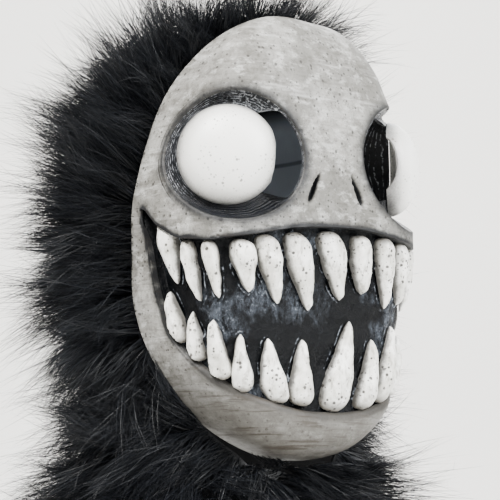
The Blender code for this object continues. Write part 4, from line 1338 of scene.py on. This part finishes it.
def keep_off_face(lines):
    """Pushes strand points that stray over the shell back behind its rim."""
    above = np.clip(lines[..., 2], -CHIN_DROP, CROWN_HEIGHT) - WIDEST_HEIGHT
    share = above / np.where(above > 0, CROWN_HEIGHT - WIDEST_HEIGHT, CHIN_DROP + WIDEST_HEIGHT)
    rim = np.where(share > 0, -CROWN_SETBACK * share**4, -CHIN_SETBACK * share**2)
    least = rim - 0.003 - 0.50 * np.maximum(0.0, np.abs(lines[..., 0]) - 0.092)
    high = lines[..., 2] > -CHIN_DROP
    lines[..., 1] = np.where(high, np.maximum(lines[..., 1], least), lines[..., 1])
    return lines


def keep_in_box(lines):
    """Shortens strands whose tips would reach further out than the model's box with a small spare round it."""
    spare = (cad_high - cad_low) * PILE_SHARE + Vector((PILE_SPARE,) * 3)
    level = np.array([0.0, 0.0, FACE_LEVEL])
    low, high = np.array(cad_low - spare) - level, np.array(cad_high + spare) - level
    roots = lines[:, 0]
    reach = lines - roots[:, None]
    room = np.where(reach > 0, high - roots[:, None], roots[:, None] - low)
    over = np.max(np.abs(reach) / np.maximum(room, 1e-4), axis=(1, 2))
    return roots[:, None] + reach / np.maximum(over, 1.0)[:, None, None]


def build_strands(name, lines, owner, tint):
    """One mesh of ribbons: two vertices at each point of a strand but one at its tip."""
    count, points = lines.shape[:2]
    along = unit(np.gradient(lines, axis=1))
    flat = unit(rng.normal(0.0, 1.0, (count, 1, 3)))
    across = unit(np.cross(along, flat))
    width = PILE_WIDTH * rng.uniform(0.6, 1.25, (count, 1, 1))
    taper = (1 - np.linspace(0, 1, points) ** 1.6)[None, :, None] * 0.92 + 0.08
    offset = across * width * taper / 2
    body = np.stack([lines - offset, lines + offset], axis=2)[:, :-1].reshape(count, -1, 3)
    verts = np.concatenate([body, lines[:, -1:]], axis=1)
    per = verts.shape[1]
    quads = [[2 * k, 2 * k + 1, 2 * k + 3, 2 * k + 2] for k in range(points - 2)]
    base = (np.arange(count) * per)[:, None]
    quad_ids = (base[:, :, None] + np.array(quads)[None]).reshape(-1, 4).tolist()
    tip_ids = (base + np.array([[per - 3, per - 2, per - 1]])).tolist()
    mesh = bpy.data.meshes.new(name)
    placed = verts.reshape(-1, 3) + np.array([0.0, 0.0, FACE_LEVEL])
    mesh.from_pydata(placed.tolist(), [], quad_ids + tip_ids)
    share = np.concatenate([np.repeat(np.linspace(0, 1, points)[:-1], 2), [1.0]])
    point_field(mesh, "along", np.tile(share, count))
    # A few strands are made much lighter, as painted glints of the pile's bluish sheen, over each tuft's own tone.
    pale = rng.random(count) ** 5
    point_field(mesh, "shade", np.repeat(tint[owner] * 0.35 + 0.25 * rng.random(count) + 0.9 * pale, per))
    mesh.shade_smooth()
    mesh.materials.append(FUR_PAINT)
    piece = add_object(name, mesh)
    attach(piece, "root")
    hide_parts("fur")
    print(f"{name}: {count} strands, {len(mesh.polygons)} faces")
    return piece


# %% Undercoat and strands
def build_undercoat():
    """The dark ground of the fur, a little above the cloth."""
    sheet = hood_sheet(100, 74, False)
    sheet.normal_update()
    for vertex in sheet.verts:
        vertex.co += vertex.normal * (0.0016 + 0.0007 * bumps(vertex.co, 0.012, 2))
    give_wall(sheet, PILE_SKIN)
    fields = (("shade", lambda point: 0.1), ("along", lambda point: 0.0))
    return finish_piece("fur_ground", sheet, FUR_PAINT, ["fur"], 60.0, fields)


undercoat = build_undercoat()
roots, normals = scatter(*fur_ground(), STRANDS)
roots += normals * 0.0015
lines, owner = grow(roots, pile_ways(roots, normals))
lines = keep_in_box(keep_off_face(lines))
tint = rng.random(TUFTS)
order = np.argsort(owner, kind="stable")
fur = []
for part, chosen in enumerate(np.array_split(order, 5)):
    fur.append(build_strands(f"fur_{part + 1}", lines[chosen], owner[chosen], tint))

# %% [markdown]
# ## Studio, camera and lights
#
# The mask is photographed against an even, nearly white ground, from a little below the eyes and from its
# right. A wide soft light comes from the upper left and a second one from the right. Weaker ones light the
# back of the fur and the wall.

# %% Backdrop
def stage_sheet(name, width, points, colour):
    """A sheet drawn along a profile of (y, z) points, in the camera's own heading."""
    builder = bmesh.new()
    rows = [[builder.verts.new((x * width / 2, y, z)) for x in (-1, 1)] for y, z in points]
    for low, high in zip(rows, rows[1:]):
        builder.faces.new((low[0], low[1], high[1], high[0]))
    builder.transform(Matrix.Rotation(math.radians(CAMERA_AZIMUTH), 4, "Z"))
    paint = Paint(name, 0.9, 0.1)
    paint.colour = (*colour, 1.0)
    piece = add_object(name, to_mesh(name, builder, paint.finish()))
    return piece


CAMERA_AZIMUTH, CAMERA_ELEVATION, CAMERA_DISTANCE = -42.0, -7.0, 1.2
FLOOR, FLOOR_NEAR, FLOOR_FAR, BEND, WALL_TOP = -0.62, -3.0, 1.6, 0.9, 5.0
bend_points = [
    (FLOOR_FAR + BEND * math.sin(angle), FLOOR + BEND * (1 - math.cos(angle)))
    for angle in (math.radians(6 * k) for k in range(16))
]
profile = [(FLOOR_NEAR, FLOOR), *bend_points, (FLOOR_FAR + BEND, FLOOR + WALL_TOP)]
backdrop = stage_sheet("backdrop", 9.0, profile, (0.90, 0.89, 0.86))


# %% Camera, from the photo's size, its scale and where the middle of the face lies in it
PHOTO_SIZE, PIXEL, FACE_AT = 500, 0.000655, (244.5, 243.7)
FACE_MIDDLE = Vector((0.0, 0.0, FACE_LEVEL))


def heading(azimuth, elevation):
    """The way from the face to a viewer. An azimuth of 0 is straight ahead of the face."""
    turn, rise = math.radians(azimuth), math.radians(elevation)
    return Vector((math.sin(turn) * math.cos(rise), -math.cos(turn) * math.cos(rise), math.sin(rise)))


def place_camera():
    back = heading(CAMERA_AZIMUTH, CAMERA_ELEVATION)
    data = bpy.data.cameras.new("camera")
    camera = add_object("camera", data)
    camera.location = FACE_MIDDLE + back * CAMERA_DISTANCE
    camera.rotation_euler = (-back).to_track_quat("-Z", "Y").to_euler()
    data.sensor_width = 36.0
    data.lens = data.sensor_width * CAMERA_DISTANCE / (PHOTO_SIZE * PIXEL)
    data.shift_x = (PHOTO_SIZE / 2 - FACE_AT[0]) / PHOTO_SIZE
    data.shift_y = (FACE_AT[1] - PHOTO_SIZE / 2) / PHOTO_SIZE
    bpy.context.scene.camera = camera
    return camera


camera = place_camera()


# %% Lights
def from_face(azimuth, elevation, distance):
    """A place seen from the middle of the face, with its azimuth measured from the camera's."""
    return FACE_MIDDLE + heading(CAMERA_AZIMUTH + azimuth, elevation) * distance


def area_light(name, place, aim, size, power, colour=(1.0, 1.0, 1.0)):
    data = bpy.data.lights.new(name, "AREA")
    data.shape, data.size, data.energy, data.color = "SQUARE", size, power, colour
    light = add_object(name, data)
    light.location = place
    light.rotation_euler = (aim - place).to_track_quat("-Z", "Y").to_euler()
    return light


def light_world(colour, strength):
    world = bpy.data.worlds.new("studio")
    world.use_nodes = True
    ground = world.node_tree.nodes["Background"]
    ground.inputs["Color"].default_value = (*colour, 1.0)
    ground.inputs["Strength"].default_value = strength
    bpy.context.scene.world = world


area_light("key", from_face(-30.0, 52.0, 1.8), FACE_MIDDLE, 0.9, 118.0, (1.0, 0.985, 0.96))
area_light("fill", from_face(62.0, 26.0, 2.0), FACE_MIDDLE, 1.2, 100.0, (0.97, 0.985, 1.0))
area_light("back", from_face(165.0, 40.0, 1.8), FACE_MIDDLE, 1.0, 20.0, (0.92, 0.96, 1.0))
area_light("wall", from_face(180.0, 62.0, 1.5), from_face(180.0, 4.0, 2.6), 1.6, 60.0, (1.0, 0.99, 0.97))
light_world((0.98, 0.985, 1.0), 0.60)
